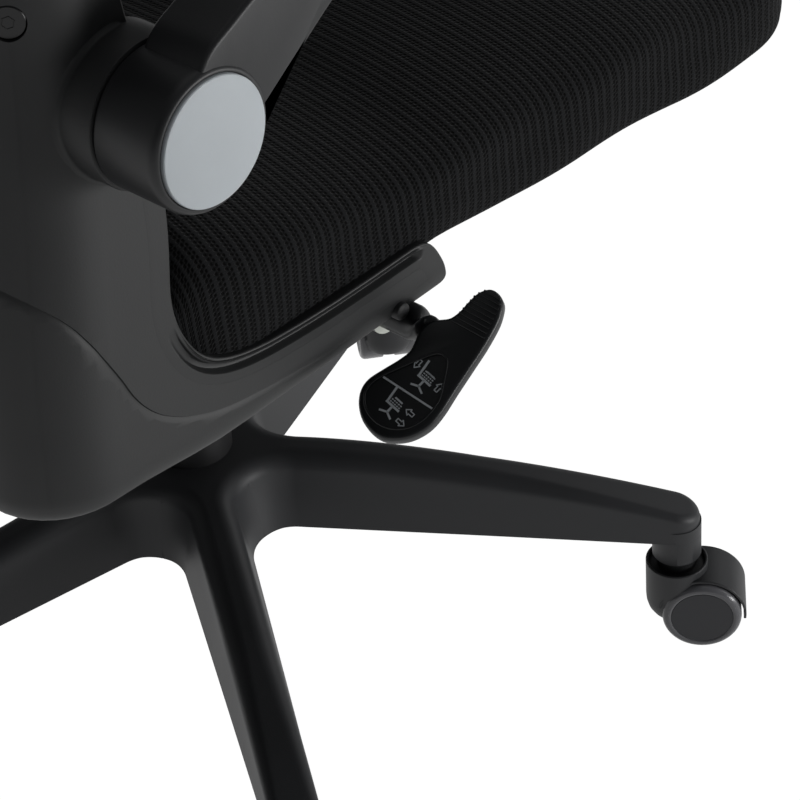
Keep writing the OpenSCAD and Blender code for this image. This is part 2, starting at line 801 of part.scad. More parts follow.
function cushion_half_w(y) = let (into = max(0, cushion_corner_r - (y + cushion_front)) / cushion_corner_r,
                                  behind = max(0, y - upright_y + cushion_corner_r / 3) / cushion_corner_r)
    cushion_w / 2 - pull_in * (1 - pow(y / cushion_front, 2))
    - cushion_corner_r * (1 - sqrt(max(0, 1 - pow(into, 2))))
    - 2.5 * pull_in * min(1, 3 * behind);

// Cross-section of the cushion: flat underside, square hem, round shoulders and a crowned top
function cushion_ring_at(y, size) = let (w = cushion_half_w(y), bottom = pan_top + cushion_end_lift * (1 - size),
        h = (cushion_top(y) - pan_top) / 2 * size)
    [for (i = [0:cushion_ring - 1]) let (a = -360 * i / cushion_ring - 90, c = cos(a), s = sin(a),
            power = 2 / (s > 0 ? cushion_side_power : cushion_hem_power),
            x = w * sign(c) * pow(abs(c), power), z = h * (1 + sign(s) * pow(abs(s), power)))
        [x, y, bottom + z + (s > 0 ? cushion_crown * size * (1 - pow(x / w, 2)) : 0)]];

module seat_cushion() {
    color("#141415") loft([for (i = [0:cushion_stations]) let (a = 180 * i / cushion_stations, t = -cos(a) * 0.9995,
            y = (cushion_rear - cushion_front) / 2 + t * cushion_len / 2)
        cushion_ring_at(y, end_share(t, cushion_end_power))]);
}

// Back shell

function share_at(f, table, i = 0) = i >= len(table) - 2 || f <= table[i + 1][0]
    ? let (u = (f - table[i][0]) / (table[i + 1][0] - table[i][0])) table[i][1] + u * (table[i + 1][1] - table[i][1])
    : share_at(f, table, i + 1);

function shell_share(z) = max(0, min(1, (z - wing_bottom) / shell_h));

function shell_half_w(z) = (shell_w - (shell_w - shell_top_w) * share_at(shell_share(z), side_shares)) / 2;

// The rear runs forward up to the lumbar curve and then leans back
function shell_rear(z) = let (f = shell_share(z))
    f < lumbar_share ? rear_y_low + (rear_y_lumbar - rear_y_low) * ease(f / lumbar_share)
                     : rear_y_lumbar + (rear_y_top - rear_y_lumbar) * pow((f - lumbar_share) / (1 - lumbar_share), 1.35);

// The rear between two levels of the shell's surface, which is straight there
function rear_between(z, i = 0) = i >= len(shell_levels) - 2 || z <= shell_levels[i + 1]
    ? let (low = shell_levels[i], high = shell_levels[i + 1])
        shell_rear(low) + (shell_rear(high) - shell_rear(low)) * (z - low) / (high - low)
    : rear_between(z, i + 1);

function shell_inset(z) = let (u = max(0, 1 - (z - wing_bottom) / (2 * bottom_round)))
    bottom_round * (1 - sqrt(1 - pow(u, 2) * 0.999));

// Plan of the shell at height z, drawn in by d: along the left side, round the back, along the right side
function shell_plan(z, d) = let (w = shell_half_w(z) - d, y = shell_rear(z) - d, r = shell_corner_r - d,
        flat = w - r,
        half = concat([[w, side_front_y], [w, (side_front_y + y - r) / 2]],
            arc([w - r, y - r], r, 0, 90, corner_steps),
            [for (i = [1:rear_steps]) let (x = flat * (1 - i / rear_steps)) [x, y + rear_bow * (1 - pow(x / flat, 2))]]))
    concat(half, [for (i = [len(half) - 2:-1:0]) [-half[i][0], half[i][1]]]);

function shell_ring(z, outer, inner) =
    [for (p = concat(shell_plan(z, outer), flipped(shell_plan(z, inner)))) [p[0], p[1], z]];

shell_levels = concat([for (u = [0, 0.3, 0.8, 1.6]) wing_bottom + bottom_round * u],
    [for (i = [1:14]) wing_bottom + bottom_round * 1.6 + (shell_h - bottom_round * 1.6) * i / 14]);

module shell_band(extra, wall) {
    band_loft([for (z = shell_levels) shell_ring(z, shell_inset(z) + extra, shell_inset(z) + extra + wall)]);
}

// Side view of the shell: wing, round inner corner, upright and top
upright_shares = [0, 0.25, 0.5, 0.75, 1];
shell_side = concat(
    [[rear_y_top + rear_bow + over, wing_bottom - over],
     [rear_y_top + rear_bow + over, back_top - tip_corner_r]],
    [[rear_y_top, back_top], [rear_y_top - upright_top_depth + tip_corner_r, back_top]],
    [for (i = [4:-1:1]) let (z = upright_bend_z + (back_top - tip_corner_r - upright_bend_z) * upright_shares[i])
        [min(shell_rear(z) - upright_top_depth * (1 + (1 - upright_shares[i]) * 0.7), shell_rear(z)), z]],
    [[upright_y + 2, upright_bend_z - 30], [upright_y, hub_z]],
    arc([upright_y - inner_corner_r, wing_root_top + inner_corner_r], inner_corner_r, 0, -82, 6),
    [[wing_slope_y, wing_tip_top + (wing_root_top - wing_tip_top) * 0.6]],
    arc([wing_tip_y + tip_corner_r, wing_tip_top - tip_corner_r], tip_corner_r, 90, 180, 4),
    [[wing_tip_y, wing_bottom + bottom_round], [wing_tip_y + bottom_round, wing_bottom - over]]);

// Outline of the opening behind the mesh, seen from the back
function opening_outline(out) = let (low = opening_bottom - out, high = back_top - opening_top_band + out,
        r = opening_corner_r + out, wl = shell_half_w(opening_bottom) - opening_side + out,
        wh = shell_half_w(back_top) - opening_side + out)
    concat(arc([wl - r, low + r], r, -90, 0, 6), arc([wh - r, high - r], r, 0, 90, 6),
           arc([-wh + r, high - r], r, 90, 180, 6), arc([-wl + r, low + r], r, 180, 270, 6));

module opening_cut(out) {
    translate([0, rear_y_top + over + rear_bow, 0]) rotate([90, 0, 0])
        linear_extrude(rear_y_top - upright_y / 2) polygon(opening_outline(out));
}

module at_frame_bolt(side, z) {
    centre = [side * (shell_half_w(z) - shell_corner_r), shell_rear(z) - shell_corner_r, z];
    translate(centre) rotate([0, 0, side > 0 ? 45 : 135]) rotate([0, 90, 0]) children();
}

module back_shell() {
    color("#3a3b3d") difference() {
        union() {
            intersection() {
                shell_band(0, shell_wall);
                side_plate(-shell_w, shell_w, shell_side);
            }
            translate([0, 0, wing_bottom]) linear_extrude(floor_t) polygon(concat(
                shell_plan(wing_bottom, bottom_round + tip_corner_r / 3),
                flipped(shell_plan(wing_bottom, floor_band))));
            translate([0, hub_y, hub_z]) {
                along_x(shell_half_w(hub_z) - shell_wall, boss_face_x, boss_r);
                along_x(-boss_face_x, -shell_half_w(hub_z) + shell_wall, boss_r);
            }
        }
        opening_cut(0);
        translate([0, hub_y, hub_z]) along_x(-boss_face_x - over, boss_face_x + over, pivot_r);
        translate([0, lever_y, lever_z]) along_x(-shell_w, -sleeve_inner_x + shell_wall * 4, lever_notch_r);
        translate([-sleeve_inner_x - soft_gap, lever_y - guide_r - soft_gap, wing_bottom - over])
            cube([floor_band, 2 * guide_r + 2 * soft_gap, floor_t + 2 * over]);
        at_shell_bolts() translate([0, 0, wing_bottom - over]) cylinder(h = floor_t + 2 * over, r = bolt_r);
        for (side = [-1, 1], z = [frame_bolt_low_z, frame_bolt_high_z]) at_frame_bolt(side, z) {
            translate([0, 0, shell_corner_r - frame_bolt_depth]) cylinder(h = shell_wall * 2, r = frame_bolt_r);
            cylinder(h = shell_corner_r, r = frame_bolt_shank_r);
        }
    }
}

module shell_bolts() {
    color("#b9bbbd") at_shell_bolts() {
        translate([0, 0, wing_bottom]) cylinder(h = floor_t + pan_t - 2 * over, r = bolt_r);
        translate([0, 0, wing_bottom - bolt_head_t]) cylinder(h = bolt_head_t, r = bolt_head_r);
    }
}

module frame_bolts() {
    color("#0c0c0d") for (side = [-1, 1], z = [frame_bolt_low_z, frame_bolt_high_z]) at_frame_bolt(side, z) {
        translate([0, 0, shell_corner_r - shell_wall - bolt_head_t])
            cylinder(h = shell_wall + bolt_head_t - frame_bolt_depth, r = frame_bolt_shank_r);
        translate([0, 0, shell_corner_r - frame_bolt_depth]) cylinder(h = 2, r = frame_bolt_r - over);
    }
}

// Mesh back

// Band of the back's curve between two depths inside the shell, as wide as the mesh frame
function back_curve(z, d, half_w, n) = [for (i = [0:n]) let (x = half_w * (1 - 2 * i / n),
        flat = shell_half_w(z) - shell_corner_r)
    [x, rear_between(z) - d + rear_bow * max(0, 1 - pow(x / flat, 2)), z]];

module back_slab(low, high, half_w_low, half_w_high, from_d, thick) {
    levels = concat([low], [for (z = shell_levels) if (z > low + over && z < high - over) z], [high]);
    band_loft([for (z = levels) let (w = half_w_low + (half_w_high - half_w_low) * (z - low) / (high - low))
        concat(back_curve(z, from_d, w, 12), flipped(back_curve(z, from_d + thick, w, 12)))]);
}

ring_from_d = shell_wall + ring_gap;
ring_half_w_low = shell_half_w(ring_bottom) - ring_in;
ring_half_w_high = shell_half_w(ring_top) - ring_in;

module mesh_frame() {
    color("#1b1b1d") difference() {
        back_slab(ring_bottom, ring_top, ring_half_w_low, ring_half_w_high, ring_from_d, ring_t);
        translate([0, rear_y_top + over + rear_bow, 0]) rotate([90, 0, 0])
            linear_extrude(rear_y_top - upright_y / 2) polygon(opening_outline(-ring_w / 3));
        lumbar_body();
    }
}

module back_mesh() {
    color("#0e0e0f") back_slab(ring_bottom + ring_w / 4, ring_top - ring_w / 4, ring_half_w_low - ring_w / 4,
        ring_half_w_high - ring_w / 4, ring_from_d + ring_t + cloth_gap, mesh_t);
}

module lumbar_body() {
    back_slab(lumbar_z - lumbar_h / 2, lumbar_z + lumbar_h / 2, lumbar_w / 2, lumbar_w / 2,
        ring_from_d + lumbar_in, lumbar_t);
}

module lumbar_pad() {
    color("#1b1b1d") lumbar_body();
}

// Arms

// Side view of the arm's beam, rising from the hub to the flat under the pad
beam_rise = arm_top_z - hub_z;
beam_front_y = pad_rear_y - pad_l + pad_in;
beam_depth = 21;
function beam_side() = [
    [hub_y + hub_r_arm * 0.1, hub_z + hub_r_arm * 0.95], [hub_y - 34, hub_z + beam_rise * 0.63],
    [hub_y - 80, hub_z + beam_rise * 0.82], [hub_y - 120, hub_z + beam_rise * 0.96],
    [hub_y - 150, arm_top_z], [beam_front_y + beam_depth / 2, arm_top_z],
    [beam_front_y, arm_top_z - beam_depth / 2], [beam_front_y + beam_depth / 2, arm_top_z - beam_depth],
    [hub_y - 162, arm_top_z - beam_depth], [hub_y - 130, arm_top_z - beam_depth - 9],
    [hub_y - 85, hub_z + beam_rise * 0.34], [hub_y - 34, hub_z - beam_rise * 0.08],
    [hub_y - hub_r_arm * 0.3, hub_z - hub_r_arm * 0.5]];

// Everything of an arm is drawn on the right side and mirrored for the left
module on_side(side) {
    mirror([side > 0 ? 1 : 0, 0, 0]) children();
}

module arm(side) {
    color("#323335") on_side(side) difference() {
        union() {
            translate([-arm_outer_x, hub_y, hub_z]) rotate([0, 90, 0]) rotate_extrude()
                polygon(concat([[0, arm_t], [hub_r_arm, arm_t]],
                    arc([hub_r_arm - hub_edge_r, hub_edge_r], hub_edge_r, 0, -90, 5), [[0, 0]]));
            side_plate(-arm_outer_x + over, -arm_outer_x + over + beam_t, flipped(beam_side()));
        }
        translate([0, hub_y, hub_z]) along_x(-arm_outer_x - over, -arm_outer_x + cap_t - cap_proud, cap_d / 2);
        translate([0, hub_y, hub_z]) along_x(-arm_outer_x, -arm_inner_x + over, pivot_r + run_gap);
        for (y = [pad_screw_rear_y, pad_screw_front_y]) translate([-arm_outer_x + over + beam_t / 2, y, 0]) {
            translate([0, 0, arm_top_z - beam_depth - over]) cylinder(h = beam_depth + 2 * over, r = screw_r);
            translate([0, 0, arm_top_z - beam_depth - over]) cylinder(h = screw_head_t + over, r = screw_head_r);
        }
    }
}

module arm_cap(side) {
    color("#9fa3a6") on_side(side) translate([0, hub_y, hub_z])
        along_x(-arm_outer_x - cap_proud, -arm_outer_x + cap_t - cap_proud, cap_d / 2 - run_gap);
}

module arm_pivot(side) {
    inner_x = shell_half_w(hub_z) - shell_wall;
    color("#b9bbbd") on_side(side) translate([0, hub_y, hub_z]) {
        along_x(-arm_outer_x + cap_t, -inner_x + pivot_head_gap + over, pivot_r);
        along_x(-inner_x + pivot_head_gap, -inner_x + pivot_head_gap + pivot_head_t, pivot_head_r);
    }
}

module arm_pad(side) {
    x_mid = -arm_outer_x + over + beam_t / 2;
    front_y = pad_rear_y - pad_l;
    color("#161617") on_side(side) difference() {
        hull() for (x = [x_mid - pad_w / 2 + 2 * pad_edge_r, x_mid + pad_w / 2 - 2 * pad_edge_r],
                    y = [front_y + 2 * pad_edge_r, pad_rear_y - 2 * pad_edge_r])
            translate([x, y, arm_top_z]) {
                cylinder(h = pad_t - pad_edge_r, r = 2 * pad_edge_r, $fn = 32);
                cylinder(h = pad_t, r = pad_edge_r, $fn = 32);
            }
        for (y = [pad_screw_rear_y, pad_screw_front_y])
            translate([x_mid, y, arm_top_z - over]) cylinder(h = screw_in_pad + over, r = screw_r);
    }
}

module pad_screws(side) {
    color("#b9bbbd") on_side(side) for (y = [pad_screw_rear_y, pad_screw_front_y])
        translate([-arm_outer_x + over + beam_t / 2, y, arm_top_z - beam_depth]) {
            cylinder(h = beam_depth + screw_in_pad - over, r = screw_r);
            cylinder(h = screw_head_t, r = screw_head_r - over / 2);
        }
}

// Lever

module lever_rod() {
    color("#b9bbbd") translate([0, lever_y, lever_z]) {
        along_x(-rod_outer_x, -rod_inner_x, lever_rod_r);
        for (x = [lock_x + lock_t / 2 + run_gap, lock_x - lock_t / 2 - rod_collar_t - run_gap])
            along_x(-x - rod_collar_t, -x, rod_collar_r);
        translate([-rod_inner_x - finger_w, finger_y - lever_y, finger_lift])
            cube([finger_w, lever_y - finger_y, finger_t]);
    }
}

module paddle_frame() {
    translate([-paddle_x, paddle_y, paddle_z]) rotate([paddle_pitch, paddle_roll, 180]) children();
}

module lever_paddle() {
    color("#161718") difference() {
        union() {
            paddle_frame() translate([0, 0, -paddle_t]) {
                linear_extrude(paddle_t) hull() {
                    translate(bulb_at) circle(r = paddle_r);
                    translate(palm_at) circle(r = palm_r);
                }
                linear_extrude(paddle_t) hull() {
                    translate(palm_at) circle(r = palm_r);
                    translate(fingertip_at) circle(r = fingertip_r);
                }
                for (i = [0:rib_count - 1])
                    translate([fingertip_at[0] - fingertip_r * 0.8, palm_at[1] + palm_r + rib_pitch * i, paddle_t])
                        cube([fingertip_r * 1.6, rib_w, rib_h]);
            }
            translate([0, lever_y, lever_z])
                along_x(-sleeve_inner_x - sleeve_l, -sleeve_inner_x, sleeve_r);
        }
        translate([0, lever_y, lever_z]) along_x(-rod_outer_x, -sleeve_inner_x + over, lever_rod_r);
    }
}

module lever_guide() {
    color("#c3c4b8") difference() {
        union() {
            translate([0, lever_y, lever_z]) along_x(-guide_x - guide_t, -guide_x, guide_r);
            translate([-guide_x - guide_t, lever_y - guide_r, lever_z])
                cube([guide_t, 2 * guide_r, pan_bottom - lever_z]);
        }
        translate([0, lever_y, lever_z]) along_x(-guide_x - guide_t - over, -guide_x + over, lever_rod_r + run_gap);
        translate([-guide_x - guide_t - over, lever_y - 2 * guide_r, pan_bottom])
            cube([guide_t + 2 * over, 4 * guide_r, guide_r]);
    }
}

module lock_bar() {
    color("#8b8c91") translate([0, lever_y, lever_z]) difference() {
        union() {
            along_x(-lock_x - lock_t / 2, -lock_x + lock_t / 2, rod_collar_r);
            translate([-lock_x - lock_t / 2, -lock_arm_w - rod_collar_r, -rod_collar_r])
                cube([lock_t, lock_arm_w + rod_collar_r, lock_t]);
        }
        along_x(-lock_x - lock_t, -lock_x + lock_t, lever_rod_r + run_gap);
    }
}

base_star();
caster_stems();
column_tube();
column_bush();
thrust_bearing();
piston_rod();
rod_clip();
gas_cylinder();
valve_pin();
tilt_bracket();
tilt_pin();
tilt_spring();
spring_bolt();
tension_knob();
seat_plate();
plate_bolts();
seat_pan();
seat_cushion();
back_shell();
shell_bolts();
mesh_frame();
back_mesh();
lumbar_pad();
frame_bolts();
lever_rod();
lever_paddle();
lever_guide();
lock_bar();
arm(-1);  // arm_right
arm(1);  // arm_left
arm_pad(-1);  // arm_pad_right
arm_pad(1);  // arm_pad_left
arm_cap(-1);  // arm_cap_right
arm_cap(1);  // arm_cap_left
arm_pivot(-1);  // arm_pivot_right
arm_pivot(1);  // arm_pivot_left
pad_screws(-1);  // pad_screws_right
pad_screws(1);  // pad_screws_left
hood(0);  // hood_1
hood(1);  // hood_2
hood(2);  // hood_3
hood(3);  // hood_4
hood(4);  // hood_5
axle(0);  // axle_1
axle(1);  // axle_2
axle(2);  // axle_3
axle(3);  // axle_4
axle(4);  // axle_5
wheels(0);  // wheels_1
wheels(1);  // wheels_2
wheels(2);  // wheels_3
wheels(3);  // wheels_4
wheels(4);  // wheels_5
tyres(0);  // tyres_1
tyres(1);  // tyres_2
tyres(2);  // tyres_3
tyres(3);  // tyres_4
tyres(4);  // tyres_5
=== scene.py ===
import json
import math
from math import cos, hypot, pi, radians, sin, sqrt, tan

import bmesh
import bpy
import numpy as np
from mathutils import Matrix, Vector
from mathutils.kdtree import KDTree


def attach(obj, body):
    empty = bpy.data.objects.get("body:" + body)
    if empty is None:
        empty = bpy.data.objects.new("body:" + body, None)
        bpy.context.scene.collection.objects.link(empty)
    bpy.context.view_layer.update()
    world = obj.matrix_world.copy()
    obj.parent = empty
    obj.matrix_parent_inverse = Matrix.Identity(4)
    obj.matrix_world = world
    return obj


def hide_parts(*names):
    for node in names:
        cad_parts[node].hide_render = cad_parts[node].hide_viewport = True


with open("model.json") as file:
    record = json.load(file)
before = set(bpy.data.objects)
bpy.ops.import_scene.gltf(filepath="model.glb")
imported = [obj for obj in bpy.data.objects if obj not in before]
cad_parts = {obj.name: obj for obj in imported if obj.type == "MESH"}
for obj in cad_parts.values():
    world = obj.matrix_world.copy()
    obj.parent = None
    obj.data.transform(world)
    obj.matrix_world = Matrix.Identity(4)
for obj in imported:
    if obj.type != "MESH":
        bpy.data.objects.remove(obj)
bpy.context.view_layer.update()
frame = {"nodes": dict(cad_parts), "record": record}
MM = 0.001

# Sizes in millimetres, the same as in the part's source
WHEEL_R = 25.0
CASTER_R = 299.0
LEG_ANGLE = 217.8
CASTER_TURNS = (0, 0, 0, 0, 30)
TRAIL = 15.7
SHELL_BOTTOM = 388.0
SHELL_TOP = 1000.0
SHELL_T = 5.0
CORNER_R = 45.0
HUB_Y, HUB_Z = 208.8, 591.5
BOSS_X = 252.0
LEVER_Y, LEVER_Z = 49.0, 383.0
LIP = 14.0
EDGE_T = 8.5
OPENING_LOW, OPENING_HIGH, OPENING_MARGIN = 604.0, 960.0, 56.0
FRAME_BOLT_HEIGHTS = (645.0, 900.0)
SECTOR = radians(36)


# Mesh helpers

def clamp(value):
    return min(1.0, max(0.0, value))


def ease(value):
    """A soft step from 0 to 1 as the value goes from 0 to 1."""
    share = clamp(value)
    return share * share * (3 - 2 * share)


def add_object(name, data):
    obj = bpy.data.objects.new(name, data)
    bpy.context.collection.objects.link(obj)
    return obj


def clean_mesh(name, shape, merge):
    """A mesh from a shape of (points in millimetres, faces), with its faces turned outwards."""
    verts, faces = shape
    mesh = bpy.data.meshes.new(name)
    mesh.from_pydata([tuple(float(c) * MM for c in v) for v in verts], [], [tuple(f) for f in faces])
    bm = bmesh.new()
    bm.from_mesh(mesh)
    if merge:
        bmesh.ops.remove_doubles(bm, verts=bm.verts, dist=1e-7)
    bmesh.ops.recalc_face_normals(bm, faces=bm.faces)
    bm.to_mesh(mesh)
    bm.free()
    return mesh


def make(name, shape, material, body=None, replaces=(), sharp=35.0):
    obj = add_object(name, clean_mesh(name, shape, True))
    finish_piece(obj, material, sharp)
    if body:
        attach(obj, body)
    if replaces:
        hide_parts(*replaces)
    return obj


def finish_piece(obj, material, sharp=35.0):
    obj.data.materials.clear()
    obj.data.materials.append(material)
    for poly in obj.data.polygons:
        poly.use_smooth = True
    obj.data.set_sharp_from_angle(angle=radians(sharp))


def grid_faces(rows, cols, close_cols=False):
    last = cols if close_cols else cols - 1
    return [(i * cols + j, i * cols + (j + 1) % cols, (i + 1) * cols + (j + 1) % cols, (i + 1) * cols + j)
            for i in range(rows - 1) for j in range(last)]


def loft(rings, ends="capped"):
    """Closed rings of points as one skin, its ends capped, open, or joined to each other."""
    n = len(rings[0])
    verts = [p for ring in rings for p in ring]
    faces = grid_faces(len(rings), n, True)
    last = (len(rings) - 1) * n
    if ends == "capped":
        faces.append(tuple(range(n)))
        faces.append(tuple(last + j for j in reversed(range(n))))
    if ends == "joined":
        faces += [(last + j, last + (j + 1) % n, (j + 1) % n, j) for j in range(n)]
    return verts, faces


def revolve(profile, steps=64):
    """A profile of (radius, height) turned about Z; ends on the axis are closed."""
    verts = []
    for r, z in profile:
        verts += [(r * cos(2 * pi * i / steps), r * sin(2 * pi * i / steps), z)
                  for i in range(steps)]
    faces = grid_faces(len(profile), steps, True)
    for row in (0, len(profile) - 1):
        if profile[row][0] > 1e-6:
            faces.append(tuple(row * steps + j for j in range(steps)))
    return verts, faces


def arc(cx, cy, r, a, b, n):
    return [(cx + r * cos(radians(a + (b - a) * i / n)),
             cy + r * sin(radians(a + (b - a) * i / n))) for i in range(n + 1)]


def moved(shape, matrix):
    return [tuple(matrix @ Vector(v)) for v in shape[0]], shape[1]


def smooth_curve(points, steps=8, closed=False):
    """Catmull-Rom curve through the points."""
    p = [np.array(q, float) for q in points]
    n = len(p)
    out = []
    for i in range(n if closed else n - 1):
        a = p[(i - 1) % n] if closed or i > 0 else 2 * p[0] - p[1]
        b, c = p[i], p[(i + 1) % n]
        d = p[(i + 2) % n] if closed or i + 2 < n else 2 * p[-1] - p[-2]
        for k in range(steps):
            t = k / steps
            out.append(0.5 * ((2 * b) + (c - a) * t + (2 * a - 5 * b + 4 * c - d) * t ** 2
                              + (3 * b - a - 3 * c + d) * t ** 3))
    if not closed:
        out.append(p[-1])
    return out


def apply_modifiers(obj):
    graph = bpy.context.evaluated_depsgraph_get()
    mesh = bpy.data.meshes.new_from_object(obj.evaluated_get(graph))
    obj.modifiers.clear()
    old = obj.data
    obj.data = mesh
    bpy.data.meshes.remove(old)


def cut(obj, cutter):
    """Takes a closed shape out of the object."""
    mesh = clean_mesh("cutter", cutter, False)
    tool = add_object("cutter", mesh)
    mod = obj.modifiers.new("cut", "BOOLEAN")
    mod.object = tool
    mod.operation = "DIFFERENCE"
    mod.solver = "EXACT"
    apply_modifiers(obj)
    bpy.data.objects.remove(tool)
    bpy.data.meshes.remove(mesh)


def bevel(obj, width, segments, angle):
    mod = obj.modifiers.new("bevel", "BEVEL")
    mod.width = width * MM
    mod.segments = segments
    mod.limit_method = "ANGLE"
    mod.angle_limit = radians(angle)
    mod.harden_normals = False
    apply_modifiers(obj)
    finish_piece(obj, obj.data.materials[0])


def prism(outline, low, high, axis="z"):
    """A closed outline extruded along an axis: (x, y) for z, (y, z) for x, (x, z) for y."""
    def place(p, h):
        return {"z": (p[0], p[1], h), "x": (h, p[0], p[1]), "y": (p[0], h, p[1])}[axis]
    n = len(outline)
    verts = [place(p, low) for p in outline] + [place(p, high) for p in outline]
    faces = [(i, (i + 1) % n, n + (i + 1) % n, n + i) for i in range(n)]
    return verts, faces + [tuple(range(n)), tuple(reversed(range(n, 2 * n)))]


def tube(path, radius, sides):
    """A round closed tube along a closed path of points."""
    pts = [Vector(p) for p in path]
    rings = []
    normal = None
    for i, p in enumerate(pts):
        t = (pts[(i + 1) % len(pts)] - pts[i - 1]).normalized()
        if normal is None:
            normal = t.orthogonal().normalized()
        normal = (normal - t * normal.dot(t)).normalized()
        side = t.cross(normal)
        rings.append([tuple(p + radius * (cos(2 * pi * k / sides) * normal
                                          + sin(2 * pi * k / sides) * side)) for k in range(sides)])
    return loft(rings, "joined")


def join(*parts):
    verts, faces = [], []
    for v, f in parts:
        base = len(verts)
        verts += list(v)
        faces += [tuple(base + k for k in face) for face in f]
    return verts, faces


# Materials

def nodes_of(name):
    material = bpy.data.materials.new(name)
    material.use_nodes = True
    tree = material.node_tree
    return material, tree, tree.nodes["Principled BSDF"]


def set_inputs(tree, node, inputs):
    """Sets a node's inputs, or links them where the value is the output of another node."""
    for name, value in inputs.items():
        if isinstance(value, bpy.types.NodeSocket):
            tree.links.new(value, node.inputs[name])
        else:
            node.inputs[name].default_value = value


def add_node(tree, kind, inputs=()):
    node = tree.nodes.new("ShaderNode" + kind)
    set_inputs(tree, node, dict(inputs))
    return node


def calc(tree, operation, *values):
    node = tree.nodes.new("ShaderNodeMath")
    node.operation = operation
    set_inputs(tree, node, dict(enumerate(values)))
    return node.outputs[0]


def colour_ramp(tree, factor, shades):
    """The colour output of a ramp of (position, colour) shades over a factor."""
    node = add_node(tree, "ValToRGB", {"Fac": factor})
    elements = node.color_ramp.elements
    for _ in shades[2:]:
        elements.new(1.0)
    for element, (position, colour) in zip(elements, shades):
        element.position = position
        element.color = (*colour, 1)
    return node.outputs["Color"]


def grained(name, colour, rough, grain=900.0, bump=0.12, metallic=0.0, spread=0.12, coat=0.0):
    """Moulded plastic or coated metal: fine surface grain, soft mottling, roughness that varies a little."""
    material, tree, shader = nodes_of(name)
    place = add_node(tree, "TexCoord").outputs["Object"]
    mottling = add_node(tree, "TexNoise", {"Vector": place, "Scale": 14.0, "Detail": 6.0}).outputs["Fac"]
    fine = add_node(tree, "TexNoise", {"Vector": place, "Scale": grain, "Detail": 3.0}).outputs["Fac"]
    shades = [(0.3, [c * (1 - spread) for c in colour]), (0.7, [c * (1 + spread) for c in colour])]
    roughness = add_node(tree, "MapRange", {"Value": mottling, "To Min": max(0.02, rough - 0.07),
                                            "To Max": min(1.0, rough + 0.07)})
    relief = add_node(tree, "Bump", {"Strength": bump, "Distance": 0.0004, "Height": fine})
    set_inputs(tree, shader, {"Base Color": colour_ramp(tree, mottling, shades), "Metallic": metallic,
                              "Roughness": roughness.outputs["Result"], "Normal": relief.outputs["Normal"]})
    if coat:
        set_inputs(tree, shader, {"Coat Weight": coat, "Coat Roughness": 0.12})
    return material


def wave_of(tree, source, period, phase=0.0):
    """A cosine of one coordinate with the given period, from 0 to 1."""
    wave = calc(tree, "COSINE", calc(tree, "MULTIPLY_ADD", source, 2 * pi / period, phase))
    return calc(tree, "MULTIPLY_ADD", wave, 0.5, 0.5)


def spacer_mesh(name, yarn, hole_shade, row_pitch=0.0066, hole_pitch=0.0026):
    """Knitted spacer fabric: ribs with two staggered columns of small holes between each pair."""
    material, tree, shader = nodes_of(name)
    uv = add_node(tree, "UVMap")
    uv.uv_map = "cloth"
    split = add_node(tree, "SeparateXYZ", {"Vector": uv.outputs["UV"]})
    along, across = split.outputs["X"], split.outputs["Y"]
    share = calc(tree, "FRACT", calc(tree, "MULTIPLY", across, 1 / row_pitch))
    holes = []
    for column, shift in ((0.38, 0.0), (0.76, 0.5)):
        off = calc(tree, "ABSOLUTE", calc(tree, "SUBTRACT", share, column))
        side = calc(tree, "DIVIDE", off, 0.15)
        turn = calc(tree, "ADD", calc(tree, "MULTIPLY", along, 1 / hole_pitch), shift)
        length = calc(tree, "DIVIDE", calc(tree, "SUBTRACT", calc(tree, "FRACT", turn), 0.5), 0.33)
        dist = calc(tree, "SQRT", calc(tree, "ADD", calc(tree, "POWER", side, 2.0),
                                       calc(tree, "MULTIPLY", length, length)))
        holes.append(calc(tree, "SMOOTH_MIN", dist, 1.4, 0.2))
    hole = calc(tree, "MINIMUM", *holes)
    depth = add_node(tree, "MapRange", {"Value": hole, "From Min": 0.55, "From Max": 1.25})
    depth.interpolation_type = "SMOOTHSTEP"
    rib = calc(tree, "MULTIPLY", wave_of(tree, across, row_pitch, -2 * pi * 0.07), 0.6)
    knit = calc(tree, "MULTIPLY", wave_of(tree, along, hole_pitch / 2), 0.2)
    height = calc(tree, "ADD", depth.outputs["Result"], calc(tree, "ADD", rib, knit))
    # Colour follows the relief height. The yarn colour is the fabric's own near-black. The holes and the dips
    # between ribs and stitches are painted darker as painted shade, almost black in the holes.
    shades = [(0.3, hole_shade), (0.68, [c * 0.42 for c in yarn]), (0.95, yarn)]
    relief = add_node(tree, "Bump", {"Strength": 0.9, "Distance": 0.0005, "Height": height})
    set_inputs(tree, shader, {"Base Color": colour_ramp(tree, calc(tree, "MULTIPLY", height, 1 / 1.8), shades),
                              "Normal": relief.outputs["Normal"], "Roughness": 0.9, "Specular IOR Level": 0.15,
                              "Sheen Weight": 0.1, "Sheen Roughness": 0.45})
    return material


shell_plastic = grained("moulded_charcoal", (0.0205, 0.0214, 0.022), 0.5)
base_plastic = grained("base_nylon", (0.036, 0.0372, 0.040), 0.48)
arm_plastic = grained("arm_charcoal", (0.0195, 0.0204, 0.022), 0.42, bump=0.08)
dark_plastic = grained("dark_plastic", (0.011, 0.0115, 0.0125), 0.42, bump=0.1)
lever_plastic = grained("lever_black", (0.009, 0.0105, 0.012), 0.36, bump=0.06)
print_white = grained("white_print", (0.78, 0.82, 0.85), 0.6, bump=0.02)
cap_grey = grained("cap_grey", (0.76, 0.815, 0.85), 0.55, bump=0.06, spread=0.03)
wheel_plastic = grained("wheel_face", (0.03, 0.031, 0.036), 0.45)
bolt_black = grained("bolt_black", (0.004, 0.004, 0.0045), 0.35, bump=0.02)
tyre_grey = grained("tyre_grey", (0.16, 0.16, 0.172), 0.25, bump=0.02, spread=0.05, coat=0.35)
black_steel = grained("powder_coat", (0.012, 0.012, 0.013), 0.5, grain=1400.0)
